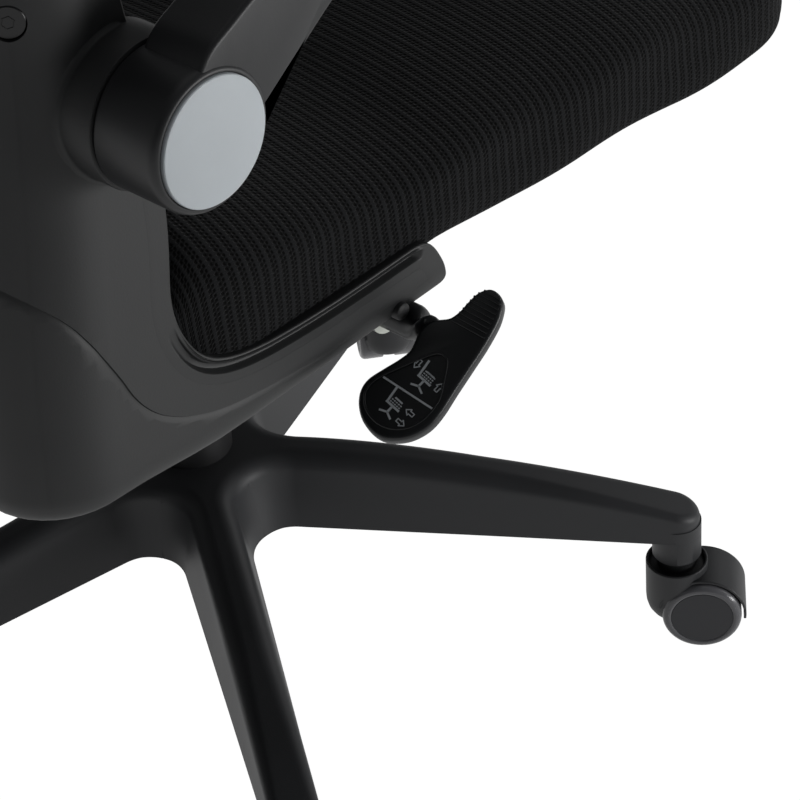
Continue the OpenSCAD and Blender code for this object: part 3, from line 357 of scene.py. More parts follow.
bright_steel = grained("bright_steel", (0.62, 0.63, 0.64), 0.22, bump=0.02, metallic=1.0, spread=0.04)
zinc_steel = grained("zinc_steel", (0.58, 0.6, 0.55), 0.35, bump=0.04, metallic=1.0, spread=0.08)
pad_skin = grained("pad_skin", (0.013, 0.013, 0.014), 0.6, grain=520.0, bump=0.35)
seat_cloth = spacer_mesh("seat_spacer_mesh", (0.0165, 0.0172, 0.0185), (0.0002, 0.0002, 0.0002))
back_cloth = spacer_mesh("back_mesh_cloth", (0.022, 0.023, 0.025), (0.0003, 0.0003, 0.0003), 0.0040, 0.0032)

SLOT_MATERIALS = {
    "nylon": base_plastic, "arm_plastic": arm_plastic, "black_plastic": dark_plastic, "cap_grey": cap_grey,
    "wheel_face": wheel_plastic, "tyre_grey": tyre_grey, "black_steel": black_steel,
    "bright_steel": bright_steel, "zinc_steel": zinc_steel, "pad_skin": pad_skin,
    "seat_fabric": dark_plastic, "mesh_fabric": dark_plastic,
}
for part in frame["record"]["subparts"]:
    node = frame["nodes"][part["node"]]
    node.data.materials.clear()
    node.data.materials.append(SLOT_MATERIALS[part["material_slot"]])
    for poly in node.data.polygons:
        poly.material_index = 0


# Base star: one sector for each leg, from the middle of the hub to the tip

LEG_FILLET, ROOT_W, TIP_W = 26.0, 43.0, 31.0
RIDGE_HALF_W, RIDGE_R = 14.5, 11.5
FILLET_S = (ROOT_W / 2 + LEG_FILLET) / tan(SECTOR)
HUB_R = (ROOT_W / 2 + LEG_FILLET) / sin(SECTOR) - LEG_FILLET


def outline_x(s, inset):
    """Half width of the leg's plan outline at distance s, moved inwards and kept within its sector."""
    if s > CASTER_R:
        return sqrt(max(0.0, (TIP_W / 2 - inset) ** 2 - (s - CASTER_R) ** 2))
    if s >= FILLET_S:
        return max(0.0, (ROOT_W + (TIP_W - ROOT_W) * (s - FILLET_S) / (CASTER_R - FILLET_S)) / 2 - inset)
    reach, r = FILLET_S - s, LEG_FILLET + inset
    curve = ROOT_W / 2 + LEG_FILLET - sqrt(r * r - reach * reach) if reach < r else 1e9
    return max(0.0, min(s * tan(SECTOR), curve))


def edge_distance(s, x):
    """How far a point of the leg's plan is from the outline."""
    if s > CASTER_R:
        return TIP_W / 2 - hypot(s - CASTER_R, x)
    if s >= FILLET_S:
        return outline_x(s, 0) - abs(x)
    return hypot(FILLET_S - s, ROOT_W / 2 + LEG_FILLET - abs(x)) - LEG_FILLET


def leg_top(s):
    t = max(0.0, (s - HUB_R) / (CASTER_R - HUB_R))
    return 152.3 - 49.9 * t ** 1.6


def leg_bottom(s):
    t = clamp((s - HUB_R) / (CASTER_R - HUB_R))
    return 103.0 - 22.0 * t


def leg_draft(s):
    return max(1.0, outline_x(min(CASTER_R, max(s, FILLET_S)), 0) - RIDGE_HALF_W)


def ridge_r(s):
    return RIDGE_R - 6.5 * clamp((s - 180.0) / (CASTER_R - 180.0))


def leg_surface(s, x):
    """Height of the leg's skin: leaning sides, a rounded shoulder and a flat top."""
    top, bottom, draft, d = leg_top(s), leg_bottom(s), leg_draft(s), max(0.0, edge_distance(s, x))
    r = ridge_r(s)
    if d >= draft + r:
        return top
    if d >= draft:
        return top - r + sqrt(max(0.0, r ** 2 - (draft + r - d) ** 2))
    return bottom + (top - r - bottom) * d / draft


def leg_ring(s):
    draft, bottom = leg_draft(s), leg_bottom(s) if s < CASTER_R + 0.01 else 63.6
    levels = [draft + ridge_r(s) * (1 - cos(radians(a))) for a in range(0, 91, 10)]
    levels = [0.02 * draft, 0.3 * draft, 0.65 * draft] + levels
    flat, wide = outline_x(s, levels[-1]), outline_x(s, 0)
    xs = [outline_x(s, d) for d in levels] + [flat * k for k in (0.75, 0.5, 0.25)]
    upper = [(s, -x, leg_surface(s, x)) for x in xs] + [(s, 0.0, leg_surface(s, 0))]
    upper += [(s, x, leg_surface(s, x)) for x in reversed(xs)]
    inner = max(0.2, wide - 5.0)
    deep = leg_top(s) - 22 if FILLET_S < s < CASTER_R - 22 else bottom + 0.4
    return upper + [(s, wide, bottom + 0.7), (s, max(0.1, wide - 0.8), bottom), (s, inner, bottom),
                    (s, inner * 0.8, deep), (s, -inner * 0.8, deep), (s, -inner, bottom),
                    (s, -max(0.1, wide - 0.8), bottom), (s, -wide, bottom + 0.7)]


def base_star():
    start = (HUB_R - 19.0) * cos(SECTOR)
    stations = [1.0, 8.0, 16.0, 23.0] + list(np.linspace(start, HUB_R * cos(SECTOR), 18))
    stations += list(np.linspace(HUB_R * cos(SECTOR), FILLET_S, 24)[1:])
    stations += list(np.linspace(FILLET_S + 5, CASTER_R, 36))
    stations += [FILLET_S - 0.1, FILLET_S + 0.1, CASTER_R - 22.1, CASTER_R - 21.9]
    stations += [CASTER_R + 0.02] + [CASTER_R + TIP_W / 2 * sin(radians(a)) for a in range(6, 90, 6)]
    leg = loft([leg_ring(s) for s in sorted(stations)])
    socket = revolve([(5.6, 63.65), (15.0, 63.65), (15.46, 64.3), (15.46, 90.0), (5.6, 90.0), (5.6, 63.7)], 48)
    parts = []
    for i in range(5):
        turn = Matrix.Rotation(radians(LEG_ANGLE - 72 * i), 4, "Z")
        parts += [moved(leg, turn), moved(socket, turn @ Matrix.Translation((CASTER_R, 0, 0)))]
        for s in (80, 120, 160, 200, 240):
            w = outline_x(s, 0) - 5.5
            plan = [(s - 1.2, -w), (s + 1.2, -w), (s + 1.2, w), (s - 1.2, w)]
            parts.append(moved(prism(plan, leg_bottom(s) + 4, leg_top(s) - 20), turn))
    core = revolve([(22.2, 84.0), (33.0, 84.0), (34.0, 85.0), (34.0, 108.0), (22.2, 108.0), (22.2, 84.0)])
    make("base_star_body", join(*parts, core), base_plastic, "base", ("base_star",), 40)


base_star()


# Back shell: a surface over height z and distance u round the ring, from the start of the rear corner

WIDTH_SHARES = ((0, 0), (0.03, 0), (0.18, 0.16), (0.35, 0.33), (0.43, 0.42), (0.55, 0.56),
                (0.7, 0.72), (0.85, 0.86), (1, 1))


def shell_share(z):
    return (z - SHELL_BOTTOM) / (SHELL_TOP - SHELL_BOTTOM)


def shell_half_w(z):
    f = shell_share(z)
    xs, ys = zip(*WIDTH_SHARES)
    return 246.0 - 34.0 * float(np.mean([np.interp(f + k, xs, ys) for k in (-0.04, -0.02, 0, 0.02, 0.04)]))


def shell_rear(z):
    f = max(0.0, shell_share(z))
    if f < 0.51:
        return 297.0 - 35.0 * ease(f / 0.51)
    return 262.0 + 64.0 * min(1.0, (f - 0.51) / 0.49) ** 1.35


def shell_inset(z):
    t = max(0.0, 1 - (z - SHELL_BOTTOM) / 18.0)
    return 9.0 * (1 - sqrt(1 - t * t * 0.999))


def shell_lift(z, u):
    """The bottom edge rises a little towards the back."""
    return 7.5 * ease((u + 80.0) / 85.0) * clamp(1 - (z - SHELL_BOTTOM) / 60.0)


def shell_point(z, u, depth=0.0):
    """Point of the right half of the shell, depth inside its outer face."""
    d = shell_inset(z) + depth
    w, y, r = shell_half_w(z) - d, shell_rear(z) - d, CORNER_R - d
    turn = u / CORNER_R
    height = z + shell_lift(z, u)
    if u <= 0:
        return (-w, y - r + u, height)
    if turn <= pi / 2:
        return (-(w - r) - r * cos(turn), y - r + r * sin(turn), height)
    x = -(w - r) + (u - CORNER_R * pi / 2)
    share = min(1.0, abs(x) / (w - r))
    return (x, y + 12.0 * (1 - share ** 2) ** 2, height)


def ring_end(z):
    """The u of the middle of the back at height z."""
    return CORNER_R * pi / 2 + shell_half_w(z) - shell_inset(z) - (CORNER_R - shell_inset(z))


def side_u(y, z):
    return y - (shell_rear(z) - CORNER_R)


def side_outline():
    """The cut edge of the right side, from the wing tip's underside up to the top, as (y, z)."""
    pts = [(50, 388), (43, 388), (36.5, 388), (30, 388.2), (25, 388.9), (21.8, 390.4), (20.2, 392.7),
           (19.9, 395.4), (20.9, 399.6), (22.6, 405.4), (24.9, 411), (27.4, 415.9), (30.4, 420), (34.6, 423.3),
           (40.5, 424.9), (47, 425.3), (58, 425.3), (72, 425.3), (86, 425.5), (100, 425.8), (114, 426.4),
           (128, 427.3), (142, 428.5), (151, 429.6), (160, 431.2), (168.5, 433.3), (176.5, 436.2),
           (183.5, 440.0), (189.3, 445.0), (193.7, 450.8), (197.2, 457.4), (199.9, 464.4), (201.6, 471.6),
           (202.3, 479), (202, 487), (200.6, 496), (198.7, 507), (196.9, 520), (195.8, 535), (195.8, 560),
           (196.8, 595), (199, 630), (203, 665)]
    for k in range(1, 10):
        f = k / 9
        z = 665 + (SHELL_TOP - 24 - 665) * f
        pts.append((shell_rear(z) - 34.0 * (1 + (1 - f) * 0.7), z))
    return pts


def lip_path():
    """The whole cut edge as (u, z): up the side, round the top corner and along the top to the middle."""
    side = [(side_u(y, z), z) for y, z in side_outline()]
    last = side[-1]
    corner = [(last[0] + 22 * (1 - cos(a)), last[1] + 22 * sin(a))
              for a in (radians(20), radians(45), radians(70), radians(90))]
    end = ring_end(SHELL_TOP - 2)
    top = [(corner[-1][0] + (end - corner[-1][0]) * k / 10, SHELL_TOP - 2) for k in range(1, 11)]
    return smooth_curve(side + corner + top, 5)


PATH = lip_path()
DENSE = [a + (b - a) * k / 4 for a, b in zip(PATH[:-1], PATH[1:]) for k in range(4)]


def path_frames(path):
    """Point and inward direction at each place of the cut edge, both in (u, z)."""
    out = []
    for i, p in enumerate(path):
        a, b = path[max(0, i - 1)], path[min(len(path) - 1, i + 1)]
        t = (b - a) / np.linalg.norm(b - a)
        out.append((p, np.array([t[1], -t[0]])))
    return out


def groove_fade(p):
    """Full depth along the wing's top and the inner corner, none at the tip and up the side."""
    u, z = p
    y = u + shell_rear(z) - CORNER_R
    ahead = clamp((y - 36) / 7) if z > 412 else 0.0
    above = 1 - clamp((z - 446) / 24)
    return ahead * above


def lip_profile(fade):
    """Section across the cut edge: (distance from the edge, depth under the outer face)."""
    pts = [(LIP + 2.0, 0.5), (LIP - 0.6, 0.08), (LIP - 1.5, 0.0), (9.3, 0.0), (8.6, -0.1 * fade)]
    groove = ((8.0, -0.1), (7.8, 0.15), (7.4, 0.9), (6.9, 2.6), (6.2, 3.6), (5.2, 3.9), (4.0, 3.8), (3.3, 3.2),
              (3.0, 1.5), (2.8, 0.3), (2.4, -0.15), (2.05, 0.2), (1.6, 1.0), (1.3, 1.1), (1.1, 0.7))
    pts += [(d, depth * fade) for d, depth in groove] + [(1.0, 0.15)]
    pts += [(1.0 - sin(radians(a)), 1.15 - cos(radians(a))) for a in (20, 40, 60, 80, 90)]
    pts += [(0.0, EDGE_T - 1.0), (0.3, EDGE_T - 0.3), (1.0, EDGE_T)]
    return pts + [(8.0, EDGE_T), (10.0, EDGE_T - 1.5), (LIP + 2.0, SHELL_T - 0.5)]


def both_sides(shape):
    return join(shape, ([(-x, y, z) for x, y, z in shape[0]], [tuple(reversed(f)) for f in shape[1]]))


def shell_lip():
    rings = []
    for p, inward in path_frames(PATH):
        places = [(p + inward * d, depth) for d, depth in lip_profile(groove_fade(p))]
        rings.append([shell_point(max(SHELL_BOTTOM, q[1]), q[0], depth) for q, depth in places])
    return both_sides(loft(rings))


def front_u(z):
    """Where the wall starts behind the lip at height z."""
    if z < SHELL_BOTTOM + LIP + 0.3:
        return side_u(48.0, SHELL_BOTTOM)
    us = np.arange(side_u(20.0, z), side_u(330.0, z), 0.25)
    edge = np.array(DENSE)
    near = np.min(np.hypot(us[:, None] - edge[None, :, 0], z - edge[None, :, 1]), axis=1) < LIP - 1.0
    return float(us[np.nonzero(near)[0][-1]]) + 0.25 if near.any() else float(us[0])


def lever_tab():
    """The small round tab under the wing, above the lever."""
    profile = [(0.0, 240.0), (4.9, 240.0), (4.9, 246.6), (4.5, 247.5), (3.6, 248.1), (0.0, 248.4)]
    return along_axis(revolve(profile, 32), (0, 57.5, 395.0), (-1, 0, 0))


def shell_wall():
    levels = [388.0, 388.3, 389.2, 390.5, 392.4, 394.8, 397.8, 401.5, 402.4]
    for low, high, step in ((403.0, 425.0, 1.0), (425.0, 434.0, 0.25), (434.0, 462.0, 1.0),
                            (464.0, 520.0, 4.0)):
        levels += list(np.arange(low, high, step))
    levels += list(np.linspace(524, SHELL_TOP - 2 - LIP - 0.01, 56))
    rows = []
    for z in levels:
        start = front_u(z)
        turned, end = CORNER_R * pi / 2, ring_end(z)
        us = [start + (0 - start) * k / 12 for k in range(12)] + [turned * k / 10 for k in range(10)]
        us += [turned + (end - turned) * k / 12 for k in range(13)]
        rows.append((z, us))
    n = len(rows[0][1])
    outer = [shell_point(z, u) for z, us in rows for u in us]
    inner = [shell_point(z, u, SHELL_T) for z, us in rows for u in us]
    m = len(rows)
    faces = grid_faces(m, n) + [tuple(k + m * n for k in reversed(f)) for f in grid_faces(m, n)]
    base = m * n
    faces += [(i * n, (i + 1) * n, base + (i + 1) * n, base + i * n) for i in range(m - 1)]
    faces += [(j, j + 1, base + j + 1, base + j) for j in range(n - 1)]
    top = (m - 1) * n
    faces += [(top + j, top + j + 1, base + top + j + 1, base + top + j) for j in range(n - 1)]
    return both_sides((outer + inner, faces))


def styling_path():
    """The pressed line that runs from the back round the corner and down along the wing, as (u, z)."""
    pts = [(300, 560), (240, 556), (190, 551), (140, 543), (95, 534), (62, 525), (47, 519.5), (33, 511.5),
           (20, 500.5), (9, 486), (0, 471.5), (-7, 459.5), (-13, 448), (-20, 437), (-29, 427.2), (-41, 419),
           (-54, 413.4), (-68, 409.2), (-88, 405.6), (-112, 402.5), (-135, 400.4), (-158, 399)]
    return smooth_curve(pts, 5)


def surface_groove(path, mirrored):
    """A thin cutter with a slanting lower face and a steep upper one, along a path on the shell."""
    rings = []
    for i, p in enumerate(path):
        a, b = path[max(0, i - 1)], path[min(len(path) - 1, i + 1)]
        t = (b - a) / np.linalg.norm(b - a)
        side = np.array([-t[1], t[0]])
        if side[1] < 0:
            side = -side
        deep = max(0.02, 0.85 * min(1.0, i / 12, (len(path) - 1 - i) / 12))
        ring = [shell_point(p[1] + side[1] * k, p[0] + side[0] * k, d)
                for k, d in ((1.5, -0.5), (0.7, deep), (-0.3, 0.8 * deep), (-3.0, -0.5))]
        rings.append([(-x, y, z) for x, y, z in ring] if mirrored else ring)
    return loft(rings)


def opening_outline(out):
    low, high, r = OPENING_LOW - out, OPENING_HIGH + out, 60.0 + out
    wl, wh = (shell_half_w(z) - OPENING_MARGIN + out for z in (OPENING_LOW, SHELL_TOP))
    return (arc(wl - r, low + r, r, -90, 0, 10) + arc(wh - r, high - r, r, 0, 90, 10)
            + arc(-wh + r, high - r, r, 90, 180, 10) + arc(-wl + r, low + r, r, 180, 270, 10))


def shell_rear_y(x, z):
    flat = shell_half_w(z) - CORNER_R
    share = min(1.0, abs(x) / flat)
    return shell_rear(z) + 12.0 * (1 - share ** 2) ** 2


def densify(outline, step):
    out = []
    for i, p in enumerate(outline):
        q = outline[(i + 1) % len(outline)]
        n = max(1, int(hypot(q[0] - p[0], q[1] - p[1]) / step))
        out += [(p[0] + (q[0] - p[0]) * k / n, p[1] + (q[1] - p[1]) * k / n) for k in range(n)]
    return out


def opening_rim():
    path = [(x, shell_rear_y(x, z) - 2.6, z) for x, z in densify(opening_outline(0.5), 12)]
    return tube(path, 3.1, 12)


def boss(side):
    """Round boss for the arm, with a small fillet where it leaves the shell's curved side."""
    steps = 96
    section = ((0.0, None), (35.0, None), (35.7, -0.3), (36.0, -1.0), (36.0, 2.6), (36.1, 1.6), (36.5, 0.8),
               (37.1, 0.3), (38.2, 0.0), (39.2, -0.4), (36.0, -6.0), (0.0, -6.0))
    rings = []
    for r, rise in section:
        ring = []
        for i in range(steps):
            a = 2 * pi * i / steps
            here = clamp((HUB_Y + 36 * cos(a) - 201) / 6)
            q = 36.0 + (r - 36.0) * here if r > 36.0 else r
            y, z = HUB_Y + q * cos(a), HUB_Z + q * sin(a)
            round_in = max(0.0, y - (shell_rear(z) - CORNER_R))
            wall = shell_half_w(z) - CORNER_R + sqrt(CORNER_R ** 2 - round_in ** 2)
            if rise is None or r < 36.0 or rise == -1.0:
                x = BOSS_X + (rise or 0.0)
            else:
                x = wall + (rise if rise < -5 else rise * here)
            if r == 0.0 and rise is not None:
                x = shell_half_w(HUB_Z) - 6.0
            ring.append((side * x, y, z))
        rings.append(ring)
    return loft(rings, "open")


def along_axis(shape, origin, direction):
    """Turns a shape made about Z so that its axis points along a direction."""
    turn = Vector((0, 0, 1)).rotation_difference(Vector(direction)).to_matrix().to_4x4()
    return moved(shape, Matrix.Translation(origin) @ turn)


def frame_bolt_place(side, z):
    """Centre of the shell's rear corner and the way out from it."""
    return ((side * (shell_half_w(z) - CORNER_R), shell_rear(z) - CORNER_R, z),
            (side * sqrt(0.5), sqrt(0.5), 0))


FRAME_BOLTS = [frame_bolt_place(side, z) for side in (-1, 1) for z in FRAME_BOLT_HEIGHTS]


def back_shell():
    obj = make("back_shell_body", shell_wall(), shell_plastic)
    cut(obj, prism(opening_outline(0), 150.0, 400.0, "y"))
    for mirrored in (False, True):
        cut(obj, surface_groove(styling_path(), mirrored))
    recess = CORNER_R - 3.2
    hole = revolve([(0, recess), (8.3, recess), (8.3, CORNER_R + 6), (0, CORNER_R + 6)], 40)
    for place in FRAME_BOLTS:
        cut(obj, along_axis(hole, *place))
    notch = revolve([(0, -260.0), (11.0, -260.0), (11.0, -215.0), (0, -215.0)], 32)
    cut(obj, along_axis(notch, (0, LEVER_Y, LEVER_Z), (1, 0, 0)))
    floor = [prism([(side * x, y) for x, y in ((206.0, 62.4), (232.0, 62.4), (232.0, 200.0), (206.0, 200.0))],
                   388.6, 392.0) for side in (-1, 1)]
    pieces = [mesh_data(obj), shell_lip(), opening_rim(), boss(-1), boss(1), lever_tab()] + floor
    bpy.data.objects.remove(obj)
    make("back_shell_visual", join(*pieces), shell_plastic, "seat", ("back_shell",), 32)


def mesh_data(obj):
    return ([tuple(c / MM for c in v.co) for v in obj.data.vertices],
            [tuple(p.vertices) for p in obj.data.polygons])


back_shell()


def bolt_caps():
    base, face, rim = CORNER_R - 3.6, CORNER_R - 0.8, CORNER_R - 0.5
    cap = revolve([(0, base), (8.1, base), (8.1, CORNER_R - 1.3), (7.5, face), (0, face)], 40)
    socket = revolve([(0, face - 0.1), (2.6, face - 0.1), (2.9, rim), (3.3, rim), (3.3, face - 0.1)], 6)
    parts = [along_axis(shape, *place) for place in FRAME_BOLTS for shape in (cap, socket)]
    make("frame_bolt_heads", join(*parts), bolt_black, "seat", ("frame_bolts",), 30)


bolt_caps()


# Mesh back: frame, stretched fabric and lumbar pad

def back_strip(x, z, depth):
    return (x, shell_rear_y(x, z) - depth, z)


def mesh_frame():
    middle = (OPENING_LOW + OPENING_HIGH) / 2
    section = ((0, 6.0), (0, 14.5), (1.5, 16.5), (4, 17.4), (16, 17.4), (19, 16.2), (20.5, 14.0), (20.5, 7.0),
               (19.5, 6.0))
    rings = []
    for x, z in densify(opening_outline(14), 10):
        length = hypot(x, z - middle)
        ux, uz = x / length, (z - middle) / length
        rings.append([back_strip(x - ux * d, z - uz * d, depth) for d, depth in section])
    make("mesh_frame_ring", loft(rings, "joined"), dark_plastic, "seat", ("mesh_frame",), 40)


def cloth_panel():
    rows, cols = 60, 40
    low, high = OPENING_LOW - 4, OPENING_HIGH + 4
    front, back = [], []
    for i in range(rows):
        z = low + (high - low) * i / (rows - 1)
        f = (z - OPENING_LOW) / (SHELL_TOP - OPENING_LOW)
        low_w, high_w = shell_half_w(OPENING_LOW), shell_half_w(SHELL_TOP)
        w = low_w - OPENING_MARGIN + 8 + (high_w - low_w) * f
        for j in range(cols):
            x = -w + 2 * w * j / (cols - 1)
            front.append(back_strip(x, z, 16.2))
            back.append(back_strip(x, z, 14.8))
    n = rows * cols
    faces = grid_faces(rows, cols) + [tuple(k + n for k in reversed(f)) for f in grid_faces(rows, cols)]
    edge = (list(range(cols)) + [i * cols + cols - 1 for i in range(1, rows)]
            + [(rows - 1) * cols + j for j in range(cols - 2, -1, -1)]
            + [i * cols for i in range(rows - 2, 0, -1)])
    faces += [(a, b, b + n, a + n) for a, b in zip(edge, edge[1:] + edge[:1])]
    obj = make("back_mesh_panel", (front + back, faces), back_cloth, "seat", ("back_mesh",), 60)
    layer = obj.data.uv_layers.new(name="cloth")
    for loop in obj.data.loops:
        co = obj.data.vertices[loop.vertex_index].co
        layer.data[loop.index].uv = (co.z, co.x)


def lumbar():
    rows, cols, half_w, middle = 18, 40, 176.0, 690.0
    angles = [-pi / 2 + pi * i / (rows - 1) for i in range(rows)]
    grid = [(39.0 * sin(a), cos(a) ** 0.4) for a in angles]
    rings = []
    for j in range(cols):
        x = -half_w + 2 * half_w * j / (cols - 1)
        end = max(0.02, 1 - (abs(x) / half_w) ** 12) ** 0.5
        squeeze = 0.7 + 0.3 * end
        ring = [back_strip(x, middle + h * squeeze, 11.6 - 3.4 * c * end) for h, c in grid]
        ring += [back_strip(x, middle + h * squeeze, 11.8 + 2.4 * c * end) for h, c in reversed(grid)]
        rings.append(ring)
    make("lumbar_bar", loft(rings), dark_plastic, "seat", ("lumbar_pad",), 40)


mesh_frame()
cloth_panel()
lumbar()


# Seat cushion

CUSHION_FRONT, CUSHION_REAR, PAN_TOP, PAN_FRONT = 319.0, 205.0, 404.0, 292.0
RIM_LOW = ((-319, 389), (-270, 388), (-240, 387), (-203, 389), (-166, 394), (-130, 398), (-79, 401),
           (-13, 407), (20, 413), (60, 415), (205, 415))


def rim_low(y):
    """The padded rim hangs over the edge of the pan, more and more towards the front."""
    xs, ys = zip(*RIM_LOW)
    return float(np.mean([np.interp(y + k, xs, ys) for k in (-16, -8, 0, 8, 16)]))


def cushion_top(y):
    ahead = max(0.0, -y) / CUSHION_FRONT
    return 471.0 + 34.0 * ease(y / CUSHION_REAR) - 40.0 * ahead ** 2.4


def cushion_half_w(y):
    into = clamp(1 - (y + CUSHION_FRONT) / 60.0)
    behind = clamp((y - 150.0) / 55.0)
    middle = 1 - min(1.0, abs(y + 40.0) / 250.0) ** 2
    return 240.5 - 1.5 * middle - 60.0 * (1 - sqrt(1 - into ** 2)) - 9.0 * behind ** 2


def cushion_ring(y):
    """Half section of the cushion, from the middle underneath round its side to the middle on top."""
    front, rear = y + CUSHION_FRONT, CUSHION_REAR - y
    low_in = max(0.0, 1 - front / 36.0, 1 - rear / 26.0)
    top_in = max(0.0, 1 - front / 30.0, 1 - rear / 34.0)
    w, middle = cushion_half_w(y), 421.0 if y < 0 else 440.0
    low = rim_low(y) + (middle - 1.5 - rim_low(y)) * (1 - sqrt(max(0.0, 1 - low_in ** 2)))
    top = cushion_top(y) + (middle + 1.5 - cushion_top(y)) * (1 - sqrt(max(0.0, 1 - top_in ** 2)))
    under = max(low, PAN_TOP) if y > -PAN_FRONT - 1 else low
    r = min(9.0, 0.45 * (top - low))
    inner = min(223.5, w - 16.0)
    pts = [(inner * k, under) for k in (0, 0.2, 0.4, 0.6, 0.8, 0.93, 1.0)]
    hang = under - low
    pts += [(inner, under - hang * 0.5), (inner + 0.6, low + min(1.0, hang)), (inner + 1.8, low)]
    pts += arc(w - r, low + r, r, -90, 0, 6)
    belly = low + (top - low) * 0.42
    pts += [(w + 0.8 * sin(pi * k), low + r + (belly - low - r) * k) for k in (0.25, 0.5, 0.75)]
    for k in range(31):
        a = radians(90 * k / 30)
        c, s = cos(a) ** (2 / 4.2), sin(a) ** (2 / 4.2)
        pts.append((w * c, belly + (top - belly) * s + 14.0 * (1 - c * c) * (1 - top_in) * s))
    return pts


def seat_cushion():
    span, middle = (CUSHION_FRONT + CUSHION_REAR) / 2, (CUSHION_REAR - CUSHION_FRONT) / 2
    stations = [middle - cos(pi * (i + 0.5) / 118) * span for i in range(118)]
    stations = sorted(stations + [-PAN_FRONT - 1.2, -PAN_FRONT - 0.8])
    rings, cloth, run, last = [], [], 0.0, None
    for y in stations:
        half = cushion_ring(y)
        half = [(x + 0.9 * sin(y / 23.0 + z / 17.0) * min(1.0, x / 236.0) ** 16,
                 z + 0.8 * sin(y / 31.0 + 1.3) * (1 if z > 440 else 0)) for x, z in half]
        ring = [(x, y, z) for x, z in half] + [(-x, y, z) for x, z in reversed(half[1:-1])]
        rings.append(ring)
        over = [0.0]
        for p, q in zip(half[::-1][:-1], half[::-1][1:]):
            over.append(over[-1] + math.dist(p, q))
        over = over[::-1]
        run += 0.0 if last is None else hypot(y - last[0], half[-1][1] - last[1])
        last = (y, half[-1][1])
        cloth.append([(v * MM, run * MM) for v in over] + [(-v * MM, run * MM) for v in reversed(over[1:-1])])
    shape = loft(rings)
    obj = make("seat_cushion_cover", shape, seat_cloth, "seat", ("seat_cushion",), 60)
    layer = obj.data.uv_layers.new(name="cloth")
    places = [place for ring in cloth for place in ring]
    lookup = KDTree(len(places))
    for k, p in enumerate(shape[0]):
        lookup.insert(Vector(p) * MM, k)
    lookup.balance()
    nearest = [lookup.find(v.co)[1] for v in obj.data.vertices]
    for loop in obj.data.loops:
        layer.data[loop.index].uv = places[nearest[loop.vertex_index]]


seat_cushion()


# Arms

def arm_names(side):
    return ("right", "arm_r") if side < 0 else ("left", "arm_l")


def hub_turn(side):
    return Matrix.Translation((0, HUB_Y, HUB_Z)) @ Matrix.Rotation(radians(90 * side), 4, "Y")


def arm_body(side):
    profile = [(0.0, 252.4), (33.6, 252.4), (34.3, 252.9), (34.5, 253.6), (34.5, 284.5)]
    rim = [(3.87, 1.3), (3.6, 2.6), (2.9, 4.0), (2.0, 4.9), (1.2, 5.25), (0.5, 5.2), (0.15, 4.9), (0.1, 4.2)]
    profile += [(30.6 + r, 284.9 + h) for r, h in rim]
    profile += [(30.7, 287.0), (0.0, 287.0)]
    obj = make("beam", prism(beam_outline(), side * 253.6, side * 289.2, "x"), arm_plastic)
    bevel(obj, 6.0, 5, 50)
    shape = join(moved(revolve(profile, 96), hub_turn(side)), mesh_data(obj))
    bpy.data.objects.remove(obj)
    word, body = arm_names(side)
    make("arm_%s_body" % word, shape, arm_plastic, body, ("arm_" + word,), 35)


def beam_outline():
    upper = [(213.0, 622.0), (204.0, 632.5), (190.0, 639.5), (165.0, 650.5), (130.0, 661.5), (98.0, 668.8),
             (60.0, 672.0), (-40.0, 672.0), (-94.0, 672.0)]
    lower = [(-97.0, 651.0), (-40.0, 651.0), (30.0, 651.0), (60.0, 648.5), (88.0, 641.5), (112.0, 631.0),
             (130.0, 620.5), (150.0, 607.5), (170.0, 594.0), (184.0, 584.5), (196.0, 577.0)]
    nose = arc(-94.0, 661.5, 10.5, 90, 270, 8)[1:-1]
    hub = arc(HUB_Y, HUB_Z, 26.0, 245, 70, 10)
    return [tuple(p) for p in smooth_curve(upper, 4) + nose + smooth_curve(lower, 4) + hub[1:-1]]


def arm_cap(side):
    profile = [(0.0, 286.5), (30.45, 286.5), (30.45, 291.3), (30.1, 291.8), (29.4, 292.0), (0.0, 292.15)]
    word, body = arm_names(side)
    make("arm_cap_%s_disc" % word, moved(revolve(profile, 96), hub_turn(side)), cap_grey, body,
         ("arm_cap_" + word,), 30)


def arm_pad(side):
    xm = side * 273.5
    levels = ((6.0, 672.3), (1.5, 672.8), (0.2, 675.5), (0.0, 680.0), (0.3, 687.0), (1.6, 691.5), (4.5, 695.0),
              (9.0, 697.2), (15.0, 698.2))
    rings = []
    for d, z in levels:
        w, front, rear, r = 39.0 - d, -124.0 + d, 128.0 - d, 17.0 - min(d, 12.0)
        ring = (arc(xm + w - r, rear - r, r, 0, 90, 8) + arc(xm - w + r, rear - r, r, 90, 180, 8)
                + arc(xm - w + r, front + r, r, 180, 270, 8) + arc(xm + w - r, front + r, r, 270, 360, 8))
        rings.append([(x, y, z + 0.8 * cos((y - 2) / 126 * pi / 2)) for x, y in ring])
    word, body = arm_names(side)
    obj = make("arm_pad_%s_skin" % word, loft(rings), pad_skin, body, ("arm_pad_" + word,), 50)


for hand in (-1, 1):
    arm_body(hand)
    arm_cap(hand)
    arm_pad(hand)


# Lever

